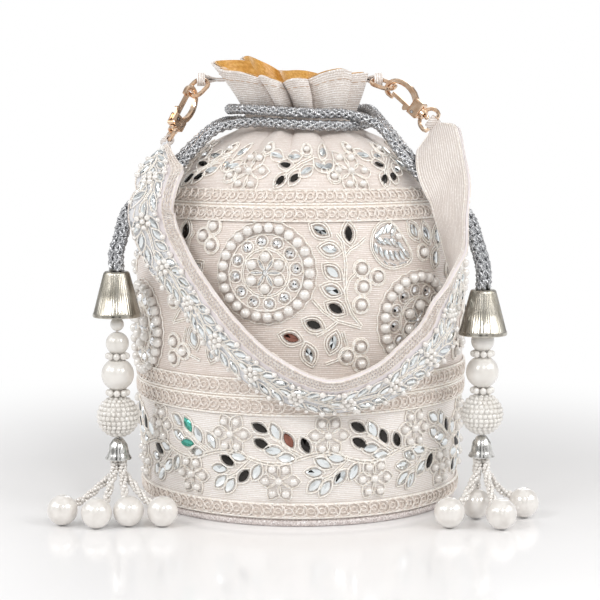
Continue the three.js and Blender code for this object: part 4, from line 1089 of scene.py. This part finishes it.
TASSELS = {
    "left": (-1, 117.6, True, [(-94.4, -80.7), (-111, -74.4), (-80, -76.5), (-64, -77)]),
    "right": (1, 109.0, False, [(69.4, -79.5), (83.6, -60.6), (93.2, -82.7), (106.5, -58.4)]),
}
for side, (sign, cone_top, first_pearl, ends) in TASSELS.items():
    x, y = sign * TASSEL[0], TASSEL[1]
    cone_foot = cone_top - CONE_HEIGHT
    turned([(0.8, 3), (9.5, 0.2), (10.1, 0), (11.3, 0.1), (11.5, 0.6), (11.4, 1.6), (11.0, 2.2), (8.75, 11),
            (6.3, 20.2), (6.0, 21.0), (5.5, CONE_HEIGHT), (0.8, CONE_HEIGHT)],
           3 * FLUTES, (x, y, cone_foot), 25)
    for vertex in bpy.context.object.data.vertices:
        way = Vector((vertex.co.x - x * MM, vertex.co.y - y * MM))
        slice_number = round(math.atan2(way.y, way.x) / (2 * math.pi) * 3 * FLUTES)
        if slice_number % 3 == 0 and 2 < vertex.co.z / MM - cone_foot < 20.5:
            vertex.co -= (way.normalized() * 0.16 * MM).to_3d()
    cone = keep_active(side + "_cone", pale_gold, "bag", side + "_cone_cap")
    height = cone_foot + 2.7
    if first_pearl:
        height = cone_foot - 0.3
        small = height - SMALL / 2
        bead(side + "_small_bead", side + "_small_pearl", SMALL, (x, y, small), warm_pearl)
        height -= SMALL + 0.3
    medium = height - MEDIUM / 2
    upper = medium - nest(MEDIUM)
    large = upper - nest(LARGE)
    lower = large - nest(LARGE)
    ball = lower - nest(BALL)
    bell_top = ball - 10.5
    bead(side + "_medium_bead", side + "_medium_pearl", MEDIUM, (x, y, medium), warm_pearl)
    bead(side + "_large_bead", side + "_large_pearl", LARGE, (x, y, large), warm_pearl)
    for label, z in (("upper", upper), ("lower", lower)):
        circle = [Vector((x, y, z)) + Vector((*polar(RING_REACH, 2 * math.pi * i / 8), 0)) for i in range(8)]
        seed_beads(f"{side}_{label}_ring_beads", [f"{side}_{label}_pearl_ring"], circle,
                                    RING_BEAD, warm_pearl)
    seeds = []
    for row in range(BALL_ROWS):
        tilt = math.pi * (row + 0.5) / BALL_ROWS
        reach = SEED_REACH * math.sin(tilt)
        count = max(int(2 * math.pi * reach / SEED_PITCH), 3)
        for k in range(count):
            across = polar(reach, 2 * math.pi * (k + 0.5 * (row % 2)) / count)
            seeds.append(Vector((x, y, ball)) + Vector((*across, SEED_REACH * math.cos(tilt))))
    bead(side + "_ball_core", side + "_beaded_ball", 18.0, (x, y, ball), warm_pearl)
    seed_beads(side + "_ball_seeds", [], seeds, 2.4, warm_pearl)
    turned([(0.8, 2), (3.9, 1.2), (5.1, 0), (6.2, 0), (6.25, 0.7), (5.2, 2.4), (4.9, 4.2), (4.3, 7),
            (2.7, 9.4), (2.0, 10), (0.8, 10)], 40, (x, y, bell_top - 10))
    keep_active(side + "_bell", silver_plate, "bag", side + "_bell_cap")
    thread_path = [Vector((x, y, z)) for z in spread(bell_top - 9.6, cone_top - 0.4, 20)]
    tube_mesh(side + "_bead_thread", [thread_path], 0.5, 8)
    bead_thread = keep_active(side + "_bead_thread", cream_thread, "bag", side + "_thread")
    starts = [(sx, sy) for sx in (-STRAND_SQUARE, STRAND_SQUARE) for sy in (-STRAND_SQUARE, STRAND_SQUARE)]
    for i, ((sx, sy), (ex, ey)) in enumerate(zip(starts, ends)):
        end = Vector((ex - x, ey - y))
        inwards = (Vector((sx, sy)) - end).normalized()
        rise = math.radians(60 - 45 * smooth_step((Vector((sx, sy)) - end).length, 8, 24))
        bend, foot = [Vector((ex + inwards.x * math.cos(rise) * d, ey + inwards.y * math.cos(rise) * d,
                              END_HEIGHT + math.sin(rise) * d)) for d in (12.75, 7.75)]
        points = [Vector((x + sx, y + sy, bell_top - 10.3)),
                  Vector((x + sx * 1.15, y + sy * 1.15, bell_top - 17)),
                  Vector((x + sx + (end.x - sx) * 0.2, y + sy + (end.y - sy) * 0.2, max(bend.z + 3.2, 17.6))),
                  bend, foot]
        chain, _ = even_steps(smooth_route(points), 1.75)
        seeds = []
        for k, here in enumerate(chain):
            along = heading(chain, k)
            out = along.cross(Vector((0.3, 0.2, 0.1))).normalized() * 1.1
            for ply in range(3):
                seeds.append(here + Matrix.Rotation(0.55 * k + ply * 2 * math.pi / 3, 3, along) @ out)
        seed_beads(f"{side}_seed_strand_{i + 1}", [f"{side}_strand_{i + 1}"], seeds, 2.1,
                                    pearl_lacquer)
        bead(f"{side}_end_bead_{i + 1}", f"{side}_end_pearl_{i + 1}", END_PEARL,
                              (ex, ey, END_HEIGHT), pearl_lacquer)
    piece, path, length = cord_pieces[side]

# Strap hardware: rose gold trigger hooks on oval links, with sprung gates and
# swivel eyes, and a folded cloth tab that holds each link to the ruffle.
rose_gold = mottled("pale_rose_gold_plate", "E6C8AC", (0.16, 1.0), 260.0,
                    [(0.3, "D3AE8E"), (0.55, "E7C9AD"), (0.75, "F5E0CB")])
HARDWARE = (("link", rose_gold, "handle"), ("hook", rose_gold, "{}_hook"), ("gate", rose_gold, "{}_gate"),
            ("swivel_eye", rose_gold, "handle"), ("gate_pin", silver_plate, "{}_hook"),
            ("gate_spring", silver_plate, "{}_hook"))
for side in ("left", "right"):
    for kind, finish, body in HARDWARE:
        node = f"{side}_{kind}"
        copy = put_in(node + "_plated", frame["nodes"][node].data.copy())
        if copy.data.has_custom_normals:
            bpy.ops.mesh.customdata_custom_splitnormals_clear()
        edit_mesh()
        bpy.ops.mesh.remove_doubles(threshold=1e-6)
        done_editing(42)
        keep_active(node + "_plated", finish, body.format(side), node)


def strip(name, rows, thickness):
    """A band of cloth through rows of points in mm, with its weave laid along it."""
    spots = [spot * MM for row in rows for spot in row]
    wide = len(rows[0])
    faces, cloth = [], []
    travelled = 0.0
    for i, row in enumerate(rows):
        travelled += (row[wide // 2] - rows[i - 1][wide // 2]).length if i else 0.0
        width = (row[-1] - row[0]).length
        cloth += [(travelled * MM, (k / (wide - 1) - 0.5) * width * MM) for k in range(wide)]
    for i in range(len(rows) - 1):
        for k in range(wide - 1):
            a = i * wide + k
            faces.append((a, a + 1, a + 1 + wide, a + wide))
    piece = put_mesh(name, spots, faces)
    weave = weave_layer(piece.data)
    for loop in piece.data.loops:
        weave.data[loop.index].uv = cloth[loop.vertex_index]
    thicken(piece, thickness, 0)


for side, sign in (("left", -1), ("right", 1)):
    low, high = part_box(side + "_tab")
    hold = Vector((high[0] / MM - 2 if sign > 0 else low[0] / MM + 2, -8, 208))
    tail = 10.5 if sign < 0 else 8.2
    arm = [(tail, tail, 0.55), (4, 7.0, 0.6), (0.5, 4.2, 1.6)]
    path = [hold + Vector((-sign * inward, back, rise)) for inward, back, rise in arm]
    path += [hold + Vector((0, *polar(2.86, a))) for a in spread(0.6, 2 * math.pi - 0.6, 14)]
    path += [hold + Vector((-sign * inward, back, -rise)) for inward, back, rise in reversed(arm)]
    route = smooth_route(path)
    middle = [route(i / 60) for i in range(61)]
    rows = []
    for i, here in enumerate(middle):
        along = heading(middle, i)
        across = (Vector((1, 0, 0)) - along * along.x).normalized()
        rows.append([here + across * 2.0 * share for share in spread(-1, 1, 4)])
    strip(side + "_cloth_tab", rows, 0.8)
    keep_active(side + "_cloth_tab", ruffle_rib, "bag", side + "_tab")

# Strap: one sewn band, embroidered on the outside and plain rib inside, folded
# round the bar of each eye and stitched.
STRAP_ROUTE = [
    ((-66, -46, 167), (-0.95, 0.3, 0)), ((-65.8, -62, 156), (-0.7, 0.7, 0)),
    ((-69, -62.5, 145.6), (-0.92, 0.38, -0.1)),
    ((-64, -63, 129.4), (-0.87, 0.48, -0.1)), ((-52, -73, 113), (-0.58, 0.68, -0.45)),
    ((-33.8, -85, 89.8), (-0.45, 0.55, -0.7)), ((-13.3, -92, 73.5), (-0.25, 0.6, -0.76)),
    ((12.8, -94, 64.3), (0, 0.7, -0.71)), ((36.8, -90, 69.6), (0.3, 0.62, -0.72)),
    ((52.6, -82, 80.2), (0.5, 0.58, -0.64)), ((62.7, -74, 89.3), (0.6, 0.62, -0.5)),
    ((67.5, -68, 102.4), (0.5, 0.85, -0.1)), ((71, -66, 114.7), (0.2, 0.97, 0)),
    ((71.5, -65, 128), (-0.3, 0.95, 0)), ((69.5, -68, 144), (-0.53, 0.85, 0)),
    ((68.8, -66, 155.7), (-0.7, 0.71, 0)), ((66, -56, 167), (-0.8, 0.6, 0.05)),
    ((65.5, -42, 178), (-0.75, 0.5, -0.3)),
]
EYE_ACROSS = {"left": Vector((-0.42884, 0.84592, -0.31704)), "right": Vector((0.59318, -0.20402, 0.77879))}
strap_ends = []
for side in ("left", "right"):
    joint = next(j for j in frame["joints"] if j["name"] == side + "_hook_swivel")
    up = Vector(joint["axis"]).normalized()
    bar = Vector(joint["pos_m"]) / MM - up * 8.2
    strap_ends.append((bar, EYE_ACROSS[side], -up))


def facing(across, other):
    return across if across.dot(Vector(other)) > 0 else -across


(left_bar, left_across, left_fall), (right_bar, right_across, right_fall) = strap_ends
middle_route = smooth_route([left_bar + left_fall * 2, *(Vector(m) for m, _ in STRAP_ROUTE),
                             right_bar + right_fall * 2])
width_route = smooth_route([facing(left_across, STRAP_ROUTE[0][1]), *(Vector(w) for _, w in STRAP_ROUTE),
                            facing(right_across, STRAP_ROUTE[-1][1])])
STRAP_STEPS = 260
FINE_STEPS = 10 * STRAP_STEPS
fine = [middle_route(i / FINE_STEPS) for i in range(FINE_STEPS + 1)]
runs = [0.0]
for a, b in zip(fine, fine[1:]):
    runs.append(runs[-1] + (b - a).length)
STRAP_LENGTH = runs[-1]


def strap_spot(run, side, lift):
    """A point of the band, run mm from its left end, side mm below its middle and lift mm off its face."""
    low = last_below(runs, run)
    t = (low + (run - runs[low]) / max(runs[low + 1] - runs[low], 1e-9)) / FINE_STEPS
    here = middle_route(t)
    along = (middle_route(min(t + 0.002, 1)) - middle_route(max(t - 0.002, 0))).normalized()
    across = width_route(t)
    across = (across - along * across.dot(along)).normalized()
    face = across.cross(along)
    return here + across * side + face * lift


def strap_half(run):
    taper = min(smooth_step(run, 0, 30), smooth_step(STRAP_LENGTH - run, 0, 13))
    return 3.0 + 9.0 * taper


def strap_layer(name, reach, lift, columns):
    """One layer of the band, out to a share of its half width, on the outer or inner face."""
    rows = []
    for i in range(STRAP_STEPS + 1):
        run = STRAP_LENGTH * i / STRAP_STEPS
        half = strap_half(run)
        row = []
        for share in spread(-reach, reach, columns):
            swell = 0.5 * (1 - share * share) if lift > 0 else 0
            row.append(strap_spot(run, share * half, lift + swell))
        rows.append(row)
    strip(name, rows, 1.0)


strap_face = rib_cloth("silver_white_strap_cloth", 0.7, "C4C4C8", "D6D6D9", "E5E5E7", "F6F6F6")
# Plain lilac satin shows along the upper edge, above the embroidered ground
tree = strap_face.node_tree
shader = tree.nodes["Principled BSDF"]
weave = add_node(tree, "UVMap", uv_map="weave")
split = add_node(tree, "SeparateXYZ", {"Vector": weave.outputs["UV"]})
upper = add_node(tree, "MapRange",
                 {"Value": split.outputs["Y"], "From Min": -0.0036, "From Max": -0.0032})
ground_tone = shader.inputs["Base Color"].links[0].from_socket
two_tone = add_node(tree, "Mix",
                    {"Factor": upper.outputs["Result"], 6: linear("E4DCDD"), 7: ground_tone},
                    data_type="RGBA")
tree.links.new(two_tone.outputs[2], shader.inputs["Base Color"])
strap_back = rib_cloth("ivory_strap_backing", 1.1, "C4B8B0", "D5CBC3", "E1D9D3", "F2EDE9")
strap_layer("strap_outer_cloth", 1.0, 0.55, 10)
outer_band = keep_active("strap_outer_cloth", strap_face, "handle", "strap")
strap_layer("strap_backing", 0.98, -0.55, 8)
inner_band = keep_active("strap_backing", strap_back, "handle")
for label, (bar, across, fall) in zip(("left", "right"), strap_ends):
    turned([(1.4, -2.8), (2.4, -3.0), (2.6, -2.7), (2.6, 2.7), (2.4, 3.0), (1.4, 2.8), (1.4, -2.8)], 24)
    loop_end = keep_active(label + "_strap_loop", strap_back, "handle")
    turn = Matrix((across.cross(fall), fall, across)).transposed().to_4x4()
    loop_end.data.transform(Matrix.Translation(bar * MM) @ turn)
    weave = weave_layer(loop_end.data)
    for loop in loop_end.data.loops:
        spot = loop_end.data.vertices[loop.vertex_index].co
        weave.data[loop.index].uv = (spot.x + spot.y, spot.z)

pearls, stones, threads, metal_threads = [], [], [], []
mirrors = {kind: [] for kind in mirror_finish}


class StrapGround(Ground):
    """A spot on the band's outer face: x along it to the right, y towards its upper edge."""

    def __init__(self, run, side):
        self.run, self.side = run, side

    def point(self, x, y, lift):
        run = min(max(self.run + x, 0), STRAP_LENGTH)
        side = (self.side - y) * strap_half(run) / 12
        return strap_spot(run, side, lift + 1.05 + 0.5 * (1 - (side / strap_half(run)) ** 2))


CHAIN_STEP = 1.5
DIAMOND = ((-0.95, 0), (0, 0.95), (0.95, 0), (0, -0.95), (-0.95, 0))
chain, rows = [], []
for i in range(int((STRAP_LENGTH - 10) / CHAIN_STEP)):
    for k, level in enumerate((11.0, 9.2, 7.4)):
        ground = StrapGround(5 + CHAIN_STEP * (i + 0.5 * (k % 2)), 0)
        chain.append([ground.point(x, level + y, 0.25) for x, y in DIAMOND])
for level in (11.9, 6.3, -11.7):
    rows.append([StrapGround(run, 0).point(0, level, 0.25) for run in spread(4, STRAP_LENGTH - 4, 220)])
back_lines = []
for edge in (-0.9, 0.9):
    runs_back = spread(4, STRAP_LENGTH - 4, 200)
    back_lines.append([strap_spot(run, edge * strap_half(run), -1.1) for run in runs_back])
STRAP_LEAVES = ((-7, 4.2, 28), (-1, 4.8, 30), (5, 4.4, 26), (-6.5, -4.4, -32), (-0.5, -4.9, -30),
                (5.5, -4.6, -28), (9.4, 0, 0))
STRAP_REPEAT = 22.0
run = 16.0
while run < STRAP_LENGTH - 14:
    ground = StrapGround(run, 3.4)
    sew_stem(ground, [(-10, -1), (-5, 0.8), (0, 0.5), (5, -0.8), (10, -1)], 0.9)
    for x, y, way in STRAP_LEAVES:
        sew_leaf(ground, x, y, way + rng.uniform(-8, 8), 6.6, 2.5, "silver", 1)
    for i in range(7):
        u, v = polar(1 if i else 0, i * 1.05)
        sew_pearl(ground, 13.6 + 2.6 * u, 3.2 * v - 0.6, 2.9)
    for x, y in ((-9, 7.2), (2, 7.4), (10, 6.4), (-3, -7.6), (3, -7.9), (9, -7.4), (16, -6.6)):
        sew_pearl(ground, x + rng.uniform(-1, 1), y + rng.uniform(-0.6, 0.4), rng.choice((2.2, 2.6, 3.0)))
    for i in range(46):
        cx, cy, way = rng.uniform(-10, 12), rng.uniform(-8, 7.4), rng.uniform(0.1, 0.8) * rng.choice((1, -1))
        u, v = polar(1.5, way)
        sew_line(ground, [(cx - u, cy - v), (cx + u, cy + v)], 0.25, metal_threads if i % 3 else threads)
    run += STRAP_REPEAT
pearl_master()
sewn_copies("strap_pearls", pearls, pearl_lacquer, "handle", True)
mirror_master()
sewn_copies("strap_mirrors", mirrors["silver"], mirror_finish["silver"], "handle", False)
couch("strap_outlines", threads, 0.32, cream_thread, "handle", 0)
couch("strap_border", chain, 0.3, lace_cream, "handle", 0)
couch("strap_edges", rows, 0.36, lace_cream, "handle", 0)
couch("strap_metal_threads", metal_threads, 0.3, silver_thread, "handle", 0)
couch("strap_back_stitching", back_lines, 0.25, cream_thread, "handle", 0)

# Sheets: the cut sizes of the cloth, from the seam circles and the length of wall between the seams.


def cloth_length(low, high):
    return (wall_at(high)[2] - wall_at(low)[2]) * MM


bag_girth = 2 * math.pi * BELLY * MM
cloth_length(3.7, 62)
cloth_length(62.2, 149)
cloth_length(149.2, 188)
bag_girth * 0.66 * cloth_length(149.2, 188)
cloth_length(188.2, 209)
cloth_length(5.4, 208.4)
bag_girth * 0.84 * cloth_length(5.4, 208.4)
for piece in bpy.data.objects:
    if piece.type != "MESH" or "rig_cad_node" in piece or not piece.data.materials[:1]:
        continue
